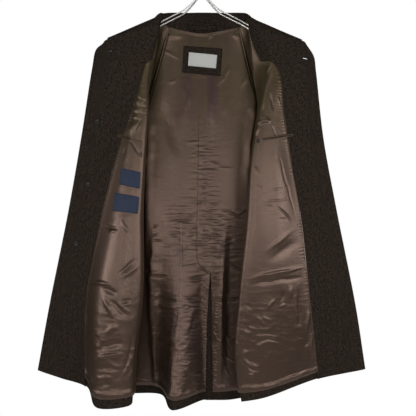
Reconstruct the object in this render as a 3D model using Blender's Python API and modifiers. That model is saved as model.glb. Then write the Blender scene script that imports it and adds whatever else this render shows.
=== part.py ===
"""Balmacaan coat on a twin-wire hanger, its two fronts swung open to show the lining.

Metres, +Z up. X runs to the wearer's left, Y towards the wearer's back. The origin is
the inside top of the hanger's hook, where a rail bears.

Every wool panel is a wall on a sheet of points. The sheet is a loft across named lines
that run from the neck to the hem, each given by a short table of stations. Facings,
linings, labels and pocket mouths are made from the same points, moved in.
"""

import math
from collections import namedtuple

import bpy
import numpy as np
from mathutils import Vector

# Cloth
WOOL = 0.002
FACING = 0.0018
LINING = 0.001
COLLAR_CLOTH = 0.003
LABEL = 0.0008
HALF_SEAM_GAP = 0.00016
LAYER_GAP = 0.001
PATCH_GAP = 0.0006
SIDE_SEAM_ALLOWANCE = 0.009
UNDERARM_ALLOWANCE = 0.005
FACING_EDGE_GAP = 0.001
VENT_STRIP_GAP = 0.0012
LINING_TOP_GAP = 0.0005
SLEEVE_LAYER_GAP = 0.0015
FACING_SEAM_ALLOWANCE = 0.001
ARMHOLE_ALLOWANCE = 0.012
NECK_ALLOWANCE = 0.009
NECK_EDGE = 0.0018
MOST_OF_SPAN = 0.75
COLLAR_SEAT = 0.0033
ROLL_GAP = 0.0028
ROLL_GAP_SHARE = 0.3
RAGLAN_GAP = 0.0016
CUFF_TURN_UP = 0.025
VENT_HALF_WIDTH = 0.009
VENT_TOP = 0.70
LINING_END = 0.978
UNDERARM = 0.30

# Buttons
COAT_BUTTON_RADIUS = 0.0115
COAT_BUTTON_HEIGHT = 0.0035
BACKING_BUTTON_RADIUS = 0.005
BACKING_BUTTON_HEIGHT = 0.002
POCKET_BUTTON_RADIUS = 0.0045
BUTTON_RIM = 0.0006
BUTTON_SIDES = 14

# Buttonhole of the wearer's left front
BUTTONHOLE_LENGTH = 0.018
BUTTONHOLE_GAP = 0.0042
BUTTONHOLE_CUT_DEPTH = 0.03

# Hanger
HOOK_INSIDE_RADIUS = 0.020
HOOK_WIRE_RADIUS = 0.00225
RAIL_WIRE_RADIUS = 0.0019
FERRULE_TOP = 0.078
FERRULE_HEIGHT = 0.014
FERRULE_RADIUS = 0.006

# One row of a line's table: how far down the cloth (0 neck, 1 hem), then the distance
# out from the hanger's middle, back from the hanger's plane, and down from the hook.
Station = namedtuple("Station", "down out back drop")


def stations(*rows):
    return [Station(*row) for row in rows]


# The lines of one front and half the back, from the front edge round to the back.
RIGHT = {
    "edge": stations(
        (0.00, 0.262, 0.040, 0.199), (0.06, 0.280, 0.026, 0.222), (0.12, 0.286, 0.012, 0.268),
        (0.30, 0.313, 0.012, 0.437), (0.50, 0.352, 0.034, 0.634), (0.75, 0.408, 0.056, 0.888),
        (1.00, 0.447, 0.075, 1.078)),
    "lapel": stations(
        (0.00, 0.240, -0.013, 0.202), (0.06, 0.243, -0.021, 0.232), (0.12, 0.240, -0.022, 0.276),
        (0.30, 0.257, -0.010, 0.441), (0.50, 0.303, 0.012, 0.634), (0.75, 0.354, 0.034, 0.876),
        (1.00, 0.378, 0.056, 1.094)),
    "seam": stations(
        (0.00, 0.119, -0.034, 0.1715), (0.08, 0.142, -0.042, 0.265), (0.25, 0.180, -0.035, 0.400),
        (0.35, 0.212, -0.024, 0.488), (0.50, 0.253, -0.010, 0.634), (0.75, 0.299, 0.006, 0.862),
        (1.00, 0.309, 0.035, 1.110)),
    "fold_out": stations(
        (0.00, 0.1145, -0.034, 0.1705), (0.08, 0.1375, -0.043, 0.265), (0.25, 0.163, -0.050, 0.403),
        (0.50, 0.206, -0.051, 0.636), (0.75, 0.250, -0.056, 0.866), (1.00, 0.260, -0.072, 1.134)),
    "fold_in": stations(
        (0.00, 0.110, -0.032, 0.169), (0.08, 0.133, -0.040, 0.265), (0.25, 0.141, -0.049, 0.403),
        (0.50, 0.157, -0.052, 0.636), (0.75, 0.160, -0.058, 0.866), (0.88, 0.177, -0.062, 1.003),
        (1.00, 0.183, -0.070, 1.130)),
    "front_side": stations(
        (0.00, 0.106, -0.022, 0.155), (0.08, 0.128, -0.004, 0.262), (0.20, 0.150, 0.026, 0.370),
        (0.30, 0.166, 0.055, 0.455)),
    "side_seam": stations(
        (0.30, 0.166, 0.055, 0.455), (0.50, 0.166, 0.060, 0.640), (0.75, 0.173, 0.065, 0.880),
        (1.00, 0.190, 0.072, 1.140)),
    "back_side": stations(
        (0.00, 0.088, 0.030, 0.158), (0.08, 0.112, 0.043, 0.245), (0.20, 0.146, 0.055, 0.365),
        (0.30, 0.166, 0.055, 0.455)),
    "hollow": stations(
        (0.00, 0.070, 0.036, 0.162), (0.25, 0.128, 0.050, 0.405), (0.50, 0.140, 0.046, 0.640),
        (0.75, 0.127, 0.050, 0.882), (1.00, 0.115, 0.068, 1.142)),
    "blade": stations(
        (0.00, 0.045, 0.041, 0.166), (0.25, 0.080, 0.045, 0.405), (0.50, 0.074, 0.040, 0.642),
        (0.75, 0.060, 0.020, 0.884), (1.00, 0.076, -0.030, 1.153)),
}
LEFT = {
    "edge": stations(
        (0.00, 0.277, 0.040, 0.203), (0.06, 0.294, 0.026, 0.238), (0.12, 0.297, 0.012, 0.280),
        (0.30, 0.316, 0.012, 0.448), (0.50, 0.354, 0.032, 0.634), (0.75, 0.409, 0.052, 0.888),
        (1.00, 0.443, 0.075, 1.075)),
    "lapel": stations(
        (0.00, 0.254, -0.013, 0.206), (0.06, 0.262, -0.021, 0.240), (0.12, 0.262, -0.022, 0.282),
        (0.30, 0.268, -0.010, 0.447), (0.50, 0.303, 0.010, 0.635), (0.75, 0.346, 0.032, 0.883),
        (1.00, 0.376, 0.056, 1.082)),
    "seam": stations(
        (0.00, 0.144, -0.037, 0.182), (0.08, 0.186, -0.041, 0.266), (0.25, 0.207, -0.034, 0.395),
        (0.35, 0.223, -0.022, 0.488), (0.50, 0.252, -0.009, 0.637), (0.75, 0.281, 0.008, 0.877),
        (1.00, 0.308, 0.035, 1.090)),
    "fold_out": stations(
        (0.00, 0.139, -0.037, 0.181), (0.08, 0.181, -0.042, 0.266), (0.25, 0.174, -0.050, 0.412),
        (0.50, 0.185, -0.048, 0.638), (0.75, 0.168, -0.042, 0.879), (1.00, 0.156, -0.037, 1.128)),
    "fold_in": stations(
        (0.00, 0.134, -0.035, 0.180), (0.08, 0.176, -0.040, 0.266), (0.17, 0.156, -0.046, 0.352),
        (0.25, 0.144, -0.048, 0.415), (0.35, 0.130, -0.048, 0.505), (0.50, 0.121, -0.045, 0.640),
        (0.75, 0.097, -0.040, 0.880), (0.90, 0.088, -0.036, 1.025), (1.00, 0.100, -0.033, 1.130)),
    "front_side": stations(
        (0.00, 0.120, -0.022, 0.163), (0.08, 0.130, 0.002, 0.262), (0.20, 0.152, 0.030, 0.370),
        (0.30, 0.168, 0.055, 0.455)),
    "side_seam": stations(
        (0.30, 0.168, 0.055, 0.455), (0.50, 0.168, 0.060, 0.640), (0.75, 0.174, 0.065, 0.880),
        (1.00, 0.190, 0.072, 1.140)),
    "back_side": stations(
        (0.00, 0.099, 0.030, 0.158), (0.08, 0.119, 0.043, 0.245), (0.20, 0.150, 0.055, 0.365),
        (0.30, 0.168, 0.055, 0.455)),
    "hollow": stations(
        (0.00, 0.074, 0.036, 0.162), (0.25, 0.130, 0.050, 0.405), (0.50, 0.126, 0.052, 0.640),
        (0.75, 0.126, 0.055, 0.882), (1.00, 0.118, 0.056, 1.146)),
    "blade": stations(
        (0.00, 0.047, 0.041, 0.166), (0.25, 0.076, 0.046, 0.405), (0.50, 0.074, 0.047, 0.642),
        (0.75, 0.074, 0.047, 0.884), (1.00, 0.070, 0.046, 1.150)),
}
SPINE = stations((0.00, 0.000, 0.045, 0.171), (0.50, 0.004, 0.047, 0.643), (1.00, 0.014, 0.045, 1.150))

SIDES = {"right": (-1, RIGHT), "left": (1, LEFT)}
FRONT_LINES = ("edge", "lapel", "seam", "fold_out", "fold_in", "front_side")
FRONT_STEPS = (2, 2, 2, 2, 2)
BACK_LINES = ("back_side", "hollow", "blade")
BACK_STEPS = (2, 2, 2, 1, 1, 2, 2, 2)
SEAM_LINE, SPINE_LINE = 2, 4
DOWNS = np.array([0, 0.03, 0.06, 0.12, 0.18, 0.24, UNDERARM, 0.40, 0.50, 0.60,
                  VENT_TOP, 0.78, 0.86, 0.93, LINING_END, 1.0])

# The raglan sleeve: a row for each section, from the neck to the cuff. Its front, over-arm
# and rear points are (out, back, drop). Rows down to the underarm end on the panels' raglan
# seams, and the rows below it close at the under-arm point.
SleeveRow = namedtuple("SleeveRow", "name front over rear under")
SLEEVE = [
    SleeveRow("neck", (0.105, -0.012, 0.149), (0.101, 0.004, 0.1445), (0.096, 0.018, 0.148), None),
    SleeveRow("collar", (0.128, -0.022, 0.168), (0.122, 0.004, 0.151), (0.117, 0.029, 0.164), None),
    SleeveRow("shoulder", (0.150, -0.0235, 0.187), (0.142, 0.005, 0.159), (0.136, 0.038, 0.178), None),
    SleeveRow("yoke", (0.180, -0.024, 0.217), (0.182, 0.008, 0.178), (0.170, 0.052, 0.212), None),
    SleeveRow("point", (0.205, -0.014, 0.264), (0.220, 0.017, 0.205), (0.203, 0.070, 0.252), None),
    SleeveRow("cap", (0.226, 0.006, 0.322), (0.256, 0.040, 0.246), (0.230, 0.098, 0.308), None),
    SleeveRow("underarm", (0.236, 0.024, 0.388), (0.286, 0.066, 0.302), (0.242, 0.122, 0.374), None),
    SleeveRow("upper", (0.238, 0.036, 0.455), (0.305, 0.086, 0.388), (0.243, 0.136, 0.444),
               (0.176, 0.074, 0.512)),
    SleeveRow("biceps", (0.241, 0.046, 0.536), (0.312, 0.096, 0.502), (0.243, 0.144, 0.532),
               (0.177, 0.086, 0.570)),
    SleeveRow("elbow", (0.242, 0.054, 0.654), (0.310, 0.101, 0.642), (0.243, 0.145, 0.654),
               (0.178, 0.094, 0.664)),
    SleeveRow("forearm", (0.243, 0.056, 0.768), (0.306, 0.098, 0.765), (0.243, 0.137, 0.768),
               (0.182, 0.093, 0.772)),
    SleeveRow("cuff", (0.244, 0.054, 0.860), (0.304, 0.091, 0.863), (0.244, 0.126, 0.862),
               (0.184, 0.088, 0.858)),
]
CAP_ROWS = 7
NECK_SHIFT = {"right": 0.0, "left": 0.012}
SLEEVE_STEPS = (3, 3, 3, 3)

# The collar: from each neckline point up to the roll, then down to the fall's edge, both
# as (out, back, up) from that point.
CollarRow = namedtuple("CollarRow", "line roll fall")
COLLAR = [
    CollarRow("lapel", (0.003, 0.006, 0.005), (0.012, 0.054, -0.025)),
    CollarRow("seam", (-0.002, 0.008, 0.018), (0.036, 0.082, -0.004)),
    CollarRow("fold_in", (-0.002, 0.008, 0.022), (0.038, 0.086, -0.010)),
    CollarRow("front_side", (-0.001, 0.006, 0.022), (0.034, 0.078, -0.020)),
    CollarRow("over", (0.000, 0.003, 0.017), (0.028, 0.066, -0.034)),
    CollarRow("back_side", (-0.006, 0.006, 0.035), (0.020, 0.046, -0.034)),
    CollarRow("blade", (-0.002, 0.006, 0.044), (0.009, 0.040, -0.033)),
]
COLLAR_MIDDLE = CollarRow("spine", (0.000, 0.006, 0.050), (0.000, 0.039, -0.031))
COLLAR_STEPS = 2
FALL_STEPS = 5
FALL_CROWN = 0.010
FALL_DROP = 0.030
FALL_LEVEL_START = 0.45
FALL_LEVEL_END = 0.15
STAND_STEPS = 2

# Pieces on the panels: places in line numbers across and in shares of the way down. Each row
# slopes by tilt a line, and by droop more a line after the line it bends at.
Patch = namedtuple("Patch", "name across down tilt bend droop", defaults=(0, 0))
MAIN_LABEL_PATCH = Patch("label_patch", (2.10, 5.90), (0.044, 0.122), 0.0022)
MAIN_LABEL = Patch("label_main", (2.40, 5.60), (0.064, 0.103), 0.0022)
FRONT_LABELS = [
    Patch("label_upper", (2.62, 4.12), (0.400, 0.448), 0.006),
    Patch("label_lower", (2.60, 4.00), (0.466, 0.514), 0.006),
]
POCKETS = {"right": Patch("pocket_mouth_right", (1.80, 3.75), (0.304, 0.318), 0.008, 2.7, 0.025),
           "left": Patch("pocket_mouth_left", (1.78, 3.72), (0.318, 0.332), 0.0085)}
ButtonPlace = namedtuple("ButtonPlace", "across down gap")
POCKET_BUTTONS = {"right": ButtonPlace(3.92, 0.366, 0.0008), "left": ButtonPlace(3.90, 0.340, 0.0021)}
COAT_BUTTONS = (ButtonPlace(1.10, 0.066, 0.0019), ButtonPlace(0.70, 0.270, 0.0006),
                ButtonPlace(0.84, 0.437, 0.0005), ButtonPlace(0.91, 0.596, 0.0005))
BUTTONHOLE_PLACE = (0.74, 0.076)
HANG_LOOP = Patch("hang_loop", (-0.037, 0.037), (0.12, 0.36), 0.0)
HANG_LOOP_LIFT = 0.0006
HANG_LOOP_POINTS = 5
HANG_LOOP_COLUMNS = 4
PATCH_ROWS = 3
LEAST_PATCH_SPAN = 0.02

# Hanger wire: from the ferrule out along the front of one arm to its end.
RAIL = ((0.0072, 0.0028, 0.0880), (0.022, 0.008, 0.1040), (0.045, 0.0135, 0.1260), (0.075, 0.015, 0.1420),
        (0.108, 0.0138, 0.1590), (0.145, 0.013, 0.1820), (0.178, 0.011, 0.2020), (0.188, 0.0055, 0.2080))
HOOK_STEM = ((0.000, 0.0775), (0.000, 0.066), (0.002, 0.056), (0.0075, 0.0465))
HOOK_ARC_DEG = (-52, 205)
HOOK_ARC_POINTS = 16

COLOURS = {
    "wool": ((0.016, 0.012, 0.009), 0.95, 0.0),
    "satin": ((0.085, 0.062, 0.052), 0.42, 0.0),
    "label_white": ((0.72, 0.72, 0.70), 0.7, 0.0),
    "label_navy": ((0.012, 0.020, 0.045), 0.6, 0.0),
    "horn": ((0.015, 0.012, 0.010), 0.3, 0.0),
    "chrome": ((0.78, 0.77, 0.74), 0.12, 1.0),
}


def clear_scene():
    for old in list(bpy.data.objects):
        bpy.data.objects.remove(old)


def material(name):
    """The named finish, made once."""
    found = bpy.data.materials.get(name)
    if found:
        return found
    colour, roughness, metallic = COLOURS[name]
    made = bpy.data.materials.new(name)
    made.use_nodes = True
    shader = made.node_tree.nodes["Principled BSDF"]
    shader.inputs["Base Color"].default_value = (*colour, 1)
    shader.inputs["Roughness"].default_value = roughness
    shader.inputs["Metallic"].default_value = metallic
    return made


# Curves and sheets of points

def smooth_through(knots, values, at):
    """A smooth curve through values at the knots, read at the places in at."""
    knots, values, at = np.asarray(knots, float), np.asarray(values, float), np.asarray(at, float)
    spans = np.diff(knots)
    slopes = np.diff(values, axis=0) / spans[:, None]
    tangents = np.empty_like(values)
    tangents[0], tangents[-1] = slopes[0], slopes[-1]
    before, after = spans[:-1, None], spans[1:, None]
    tangents[1:-1] = (slopes[:-1] * after + slopes[1:] * before) / (before + after)
    i = np.clip(np.searchsorted(knots, at, side="right") - 1, 0, len(spans) - 1)
    span = spans[i][:, None]
    t = ((at - knots[i]) / spans[i])[:, None]
    return (values[i] * (2 * t**3 - 3 * t**2 + 1) + tangents[i] * span * (t**3 - 2 * t**2 + t)
            + values[i + 1] * (3 * t**2 - 2 * t**3) + tangents[i + 1] * span * (t**3 - t**2))


def line_points(table, sign, downs):
    """World points of one line at the shares of the way down."""
    read = smooth_through([row.down for row in table], [row[1:] for row in table], downs)
    return np.column_stack((sign * read[:, 0], read[:, 1], -read[:, 2]))


def coat_line(tables, name, sign):
    """A line of the coat at every row. A raglan line goes on down as the side seam."""
    points = line_points(tables[name], sign, DOWNS)
    if name.endswith("_side"):
        below = DOWNS > UNDERARM
        points[below] = line_points(tables["side_seam"], sign, DOWNS[below])
    return points


def across(points, steps):
    """A smooth curve through points in order, with steps[i] spans between each two."""
    points = np.asarray(points, float)
    knots = np.concatenate(([0], np.cumsum(np.sqrt(np.linalg.norm(np.diff(points, axis=0), axis=1)))))
    at = [knots[i] + (knots[i + 1] - knots[i]) * j / n for i, n in enumerate(steps) for j in range(n)]
    return smooth_through(knots, points, [*at, knots[-1]])


def columns(steps):
    """The line number of each column that across makes."""
    return np.array([i + j / n for i, n in enumerate(steps) for j in range(n)] + [len(steps)])


Sheet = namedtuple("Sheet", "points inward across downs")


def inward_normals(points):
    """Unit normals of a grid of points, towards the wearer."""
    down = np.gradient(points, axis=0)
    over = np.gradient(points, axis=1)
    normal = np.cross(down, over)
    return normal / np.linalg.norm(normal, axis=2, keepdims=True)


def sheet(lines, steps, downs):
    points = np.array([across(row, steps) for row in np.stack(lines, axis=1)])
    return Sheet(points, inward_normals(points), columns(steps), np.asarray(downs, float))


def front_sheet(side):
    """One front, from its front edge to its side seam, with columns from -X to +X."""
    sign, tables = SIDES[side]
    return sheet([coat_line(tables, name, sign) for name in FRONT_LINES], FRONT_STEPS, DOWNS)


def back_sheet():
    """The whole back, from the right side seam to the left one."""
    right = [coat_line(RIGHT, name, -1) for name in BACK_LINES]
    left = [coat_line(LEFT, name, 1) for name in reversed(BACK_LINES)]
    spine = line_points(SPINE, 1, DOWNS)
    beside = np.array([VENT_HALF_WIDTH, 0, 0])
    return sheet([*right, spine - beside, spine, spine + beside, *left], BACK_STEPS, DOWNS)


def inward_sign(side):
    """A left front's columns run from +X to -X, so its grid normals point outward."""
    return 1 if side != "left" else -1


def pulled_in(points, first=0.0, last=0.0, top=0.0, bottom=0.0):
    """The grid with its outer columns and rows moved in by these distances, at most by most of a span."""
    grid = points.copy()

    def shift(edge, inner, distance):
        step = inner - edge
        length = np.linalg.norm(step, axis=1, keepdims=True)
        return edge + step / length * np.minimum(np.reshape(distance, (-1, 1)), MOST_OF_SPAN * length)

    grid[:, 0] = shift(grid[:, 0], grid[:, 1], first)
    grid[:, -1] = shift(grid[:, -1], grid[:, -2], last)
    grid[0] = shift(grid[0], grid[1], top)
    grid[-1] = shift(grid[-1], grid[-2], bottom)
    return grid


# Objects

def link(obj, finish):
    obj.data.materials.append(material(finish))
    bpy.data.collections["balmacaan_coat"].objects.link(obj)
    return obj


def wall(name, points, thickness, finish, grows_in, keep=None, turned=False):
    """A cloth wall on a grid of points, thickened to one side. keep drops grid faces."""
    rows, cols = points.shape[:2]
    faces = []
    for r in range(rows - 1):
        for c in range(cols - 1):
            if keep is None or keep(r, c):
                at = r * cols + c
                face = (at, at + 1, at + cols + 1, at + cols)
                faces.append(face[::-1] if turned else face)
    used = sorted({v for face in faces for v in face})
    number = {v: i for i, v in enumerate(used)}
    mesh = bpy.data.meshes.new(name)
    flat = points.reshape(-1, 3)
    mesh.from_pydata([flat[v] for v in used], [], [[number[v] for v in face] for face in faces])
    mesh.shade_smooth()
    obj = link(bpy.data.objects.new(name, mesh), finish)
    solid = obj.modifiers.new("Wall", "SOLIDIFY")
    solid.thickness = thickness
    solid.offset = -1 if grows_in else 1
    return obj


def tube(name, points, radius, finish):
    """A round wire along points."""
    curve = bpy.data.curves.new(name, "CURVE")
    curve.dimensions = "3D"
    curve.bevel_depth = radius
    curve.bevel_resolution = 2
    curve.use_fill_caps = True
    spline = curve.splines.new("POLY")
    spline.points.add(len(points) - 1)
    for point, place in zip(spline.points, points):
        point.co = (*place, 1)
    return link(bpy.data.objects.new(name, curve), finish)


def disc(name, place, direction, radius, height, finish):
    """A button: a low round disc with a bevelled rim, standing on place."""
    bpy.ops.mesh.primitive_cylinder_add(vertices=BUTTON_SIDES, radius=radius, depth=height)
    obj = bpy.context.object
    obj.name = name
    obj.location = Vector(place) + Vector(direction) * height / 2
    obj.rotation_mode = "QUATERNION"
    obj.rotation_quaternion = Vector(direction).to_track_quat("Z", "Y")
    for collection in list(obj.users_collection):
        collection.objects.unlink(obj)
    rim = obj.modifiers.new("Rim", "BEVEL")
    rim.width = BUTTON_RIM
    rim.segments = 1
    rim.limit_method = "ANGLE"
    return link(obj, finish)


# The coat

def read_sheet(grid, source, places_across, places_down):
    """Values of a grid on the sheet at every pair of places, straight between its points."""
    c = np.interp(places_across, source.across, np.arange(len(source.across)))
    r = np.interp(places_down, source.downs, np.arange(len(source.downs)))
    c0 = np.clip(c.astype(int), 0, len(source.across) - 2)
    r0 = np.clip(r.astype(int), 0, len(source.downs) - 2)
    fc, fr = (c - c0)[..., None], (r - r0)[..., None]
    return ((grid[r0, c0] * (1 - fc) + grid[r0, c0 + 1] * fc) * (1 - fr)
            + (grid[r0 + 1, c0] * (1 - fc) + grid[r0 + 1, c0 + 1] * fc) * fr)


def lines_between(ends, marks):
    """The two ends and every mark between them, in order."""
    low, high = ends
    between = [m for m in marks if low + LEAST_PATCH_SPAN < m < high - LEAST_PATCH_SPAN]
    return np.array([low, *between, high])


def patch_points(source, patch, lift, inner):
    """A grid on the sheet inside the patch, lifted towards the wearer."""
    u = lines_between(patch.across, source.across)
    v = np.linspace(*patch.down, PATCH_ROWS)
    grid_u, grid_v = np.meshgrid(u, v)
    grid_v = grid_v + patch.tilt * (grid_u - u.mean()) + patch.droop * np.maximum(0, grid_u - patch.bend)
    points = read_sheet(source.points, source, grid_u, grid_v)
    normals = read_sheet(source.inward, source, grid_u, grid_v) * inner
    return points + normals * lift


def lining_at_side():
    """How far each row of a lining stays from the raglan seam and, lower down, from the side seam."""
    rows = DOWNS[:-1]
    below = np.where(rows > UNDERARM, SIDE_SEAM_ALLOWANCE, UNDERARM_ALLOWANCE)
    return np.where(rows < UNDERARM, HALF_SEAM_GAP, below)


def make_front(side, source):
    """A front's wool panel, its facing and its lining."""
    inner = inward_sign(side)
    turned = side == "left"
    moved = source.points + source.inward * inner * LAYER_GAP
    seam = int(np.flatnonzero(source.across == SEAM_LINE)[0])
    raglan = DOWNS <= UNDERARM
    at_side = np.where(raglan, ARMHOLE_ALLOWANCE, HALF_SEAM_GAP)
    panel = wall(f"front_{side}", pulled_in(source.points, last=at_side, top=NECK_EDGE),
                 WOOL, "wool", False, turned=turned)
    facing = pulled_in(moved[:, :seam + 1], first=FACING_EDGE_GAP, last=FACING_SEAM_ALLOWANCE,
                       top=NECK_EDGE, bottom=FACING_EDGE_GAP)
    facing = wall(f"facing_{side}", facing, FACING, "wool", True, turned=turned)
    lining = pulled_in(moved[:-1, seam:], first=FACING_SEAM_ALLOWANCE, last=lining_at_side(), top=NECK_EDGE)
    wall(f"lining_front_{side}", lining, LINING, "satin", True, turned=turned)
    return panel, facing


def make_back(source):
    """The back's two wool panels, its two linings and the wool strip inside the vent."""
    moved = source.points + source.inward * LAYER_GAP
    spine = int(np.flatnonzero(source.across == SPINE_LINE)[0])
    vent_row = int(np.flatnonzero(source.downs == VENT_TOP)[0])
    halves = {"right": slice(0, spine + 1), "left": slice(spine, None)}
    for side, part in halves.items():
        at_spine = {"last" if side == "right" else "first": HALF_SEAM_GAP}
        at_side = "first" if side == "right" else "last"
        panel = pulled_in(source.points[:, part], **at_spine, **{at_side: HALF_SEAM_GAP})
        wall(f"back_{side}", panel, WOOL, "wool", False)
        lining = pulled_in(moved[:-1, part], **at_spine, **{at_side: lining_at_side()}, top=LINING_TOP_GAP)
        beside_spine = lining.shape[1] - 2 if side == "right" else 0
        wall(f"lining_back_{side}", lining, LINING, "satin", True,
             keep=lambda r, c, column=beside_spine: r < vent_row or c != column)
    strip = pulled_in(moved[vent_row:, spine - 1:spine + 2], first=VENT_STRIP_GAP, last=VENT_STRIP_GAP,
                      top=VENT_STRIP_GAP, bottom=FACING_EDGE_GAP)
    wall("vent_facing", strip, FACING, "wool", True)


def sleeve_sections(side, front, back):
    """Each section as five points: front raglan or underarm, front, over-arm, rear, back or underarm."""
    sign = SIDES[side][0]

    def world(place, shift):
        return np.array([sign * (place[0] + shift), place[1], -place[2]])

    front_seam, back_seam = front.points[:, -1], back.points[:, 0 if side == "right" else -1]
    sections = []
    for number, row in enumerate(SLEEVE):
        shift = NECK_SHIFT[side] * max(0, 1 - number / (CAP_ROWS - 1))
        front_mid, over, rear = (world(place, shift) for place in (row.front, row.over, row.rear))
        if row.under is None:
            ends = front_seam[number], back_seam[number]
        else:
            ends = world(row.under, 0), world(row.under, 0)
        sections.append((ends[0], front_mid, over, rear, ends[1]))
    return sections


def make_sleeve(side, front, back):
    """A two-piece raglan sleeve, seamed along the shoulder and under the arm, and its lining."""
    rings = np.array([across(section, SLEEVE_STEPS) for section in sleeve_sections(side, front, back)])
    top = sum(SLEEVE_STEPS[:2])
    turned = side == "left"
    raglan = np.arange(len(rings)) < CAP_ROWS
    at_front = np.where(raglan, ARMHOLE_ALLOWANCE, HALF_SEAM_GAP)
    at_back = np.where(raglan, RAGLAN_GAP, HALF_SEAM_GAP)
    halves = {"front": (rings[:, :top + 1], {"first": at_front, "last": HALF_SEAM_GAP}),
              "back": (rings[:, top:], {"first": HALF_SEAM_GAP, "last": at_back})}
    for name, (points, gaps) in halves.items():
        panel = pulled_in(points, **gaps, top=NECK_ALLOWANCE)
        wall(f"sleeve_{name}_{side}", panel, WOOL, "wool", False, turned=turned)
    inside = rings + inward_normals(rings) * inward_sign(side) * SLEEVE_LAYER_GAP
    at_seam = np.where(raglan, RAGLAN_GAP, UNDERARM_ALLOWANCE)
    inside = pulled_in(inside, first=at_seam, last=at_seam, top=NECK_ALLOWANCE, bottom=CUFF_TURN_UP)
    wall(f"lining_sleeve_{side}", inside, LINING, "satin", True, turned=turned)


def neckline():
    """The collar's stations: its neckline point, roll and fall edge, from the right front to the left."""

    def station(point, row, sign):
        def shifted(by):
            return np.array(point) + np.array([sign * by[0], by[1], by[2]])
        return np.array(point), shifted(row.roll), shifted(row.fall)

    def half(side):
        sign, tables = SIDES[side]
        made = []
        for row in COLLAR:
            if row.line == "over":
                place = np.add(SLEEVE[0].over, (NECK_SHIFT[side], 0, 0))
            else:
                place = tables[row.line][0][1:]
            made.append(station((sign * place[0], place[1], -place[2]), row, sign))
        return made

    top = SPINE[0]
    middle = station((top.out, top.back, -top.drop), COLLAR_MIDDLE, 1)
    return [*half("right"), middle, *reversed(half("left"))]


def bezier(a, b, c, d, t):
    t = t[:, None]
    return a * (1 - t)**3 + 3 * b * t * (1 - t)**2 + 3 * c * t**2 * (1 - t) + d * t**3


def make_collar():
    """The stand, which shows inside the neck, and the fall, which lies over the shoulders."""
    stations_along = neckline()
    spans = (COLLAR_STEPS,) * (len(stations_along) - 1)
    neck, roll, fall = (across([s[i] for s in stations_along], spans) for i in range(3))
    up = np.array([0, 0, 1])
    seat = neck + up * COLLAR_SEAT
    gap = np.minimum(ROLL_GAP, ROLL_GAP_SHARE * (roll - seat)[:, 2:])
    under_roll = roll - up * gap
    stand = np.array([seat + (under_roll - seat) * i / STAND_STEPS for i in range(STAND_STEPS + 1)])
    wall("collar_stand", stand, COLLAR_CLOTH, "wool", False, turned=True)
    share = np.linspace(0, 1, FALL_STEPS + 1)
    over = []
    for low, high in zip(roll + up * gap, fall):
        reach = high - low
        level = reach * np.array([1, 1, 0])
        rise = low + level * FALL_LEVEL_START + up * FALL_CROWN
        drop = high - level * FALL_LEVEL_END + up * FALL_DROP
        over.append(bezier(low, rise, drop, high, share))
    fall_points = np.array(over).transpose(1, 0, 2)
    wall("collar_fall", fall_points, COLLAR_CLOTH, "wool", False)
    return stand


def make_hang_loop(stand):
    """A strip across the inside of the stand, at the middle of the neck."""
    middle = stand.shape[1] // 2
    near = stand[:, middle - HANG_LOOP_COLUMNS:middle + HANG_LOOP_COLUMNS + 1]
    low, high = HANG_LOOP.down
    inward = np.array([0, -1, 0])
    rows = [near[0] + (near[-1] - near[0]) * share for share in (low, high)]
    out = np.linspace(*HANG_LOOP.across, HANG_LOOP_POINTS)
    points = np.array([[[np.interp(x, row[:, 0], row[:, axis]) for axis in range(3)] for x in out]
                       for row in rows])
    wall("hang_loop", points + inward * HANG_LOOP_LIFT, FACING, "wool", True, turned=True)


def make_labels(right_front, back):
    """The name patch inside the neck and the two labels on the right front's lining, all bare."""
    on_lining = LAYER_GAP + LINING + PATCH_GAP
    patch = patch_points(back, MAIN_LABEL_PATCH, on_lining, 1)
    wall(MAIN_LABEL_PATCH.name, patch, FACING, "wool", True)
    label = patch_points(back, MAIN_LABEL, on_lining + FACING + PATCH_GAP, 1)
    wall(MAIN_LABEL.name, label, LABEL, "label_white", True)
    for row in FRONT_LABELS:
        wall(row.name, patch_points(right_front, row, on_lining, 1), LABEL, "label_navy", True)


def make_pockets(fronts):
    """The jetted mouth of each inside breast pocket, from the facing over the lining, and its button."""
    on_facing = LAYER_GAP + FACING + PATCH_GAP
    for side, patch in POCKETS.items():
        inner = inward_sign(side)
        points = patch_points(fronts[side], patch, on_facing, inner)
        wall(patch.name, points, FACING, "satin", True, turned=side == "left")
        button = POCKET_BUTTONS[side]
        place, direction = place_on(fronts[side], button.across, button.down, on_facing + button.gap, inner)
        disc(f"pocket_button_{side}", place, direction, POCKET_BUTTON_RADIUS, BACKING_BUTTON_HEIGHT, "horn")


def place_on(source, u, v, lift, inner):
    """A point on the sheet moved along its inward normal, and that direction."""
    u, v = np.array([u]), np.array([v])
    direction = read_sheet(source.inward, source, u, v)[0] * inner
    direction /= np.linalg.norm(direction)
    return read_sheet(source.points, source, u, v)[0] + direction * lift, direction


def make_buttons(right_front):
    """The coat buttons on the right front's outside, each with a backing button on the facing."""
    for number, button in enumerate(COAT_BUTTONS, 1):
        place, inward = place_on(right_front, button.across, button.down, LAYER_GAP + FACING + PATCH_GAP, 1)
        disc(f"backing_button_{number}", place, inward, BACKING_BUTTON_RADIUS, BACKING_BUTTON_HEIGHT, "horn")
        place, inward = place_on(right_front, button.across, button.down, -(WOOL + button.gap), 1)
        disc(f"coat_button_{number}", place, -inward, COAT_BUTTON_RADIUS, COAT_BUTTON_HEIGHT, "horn")


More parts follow.
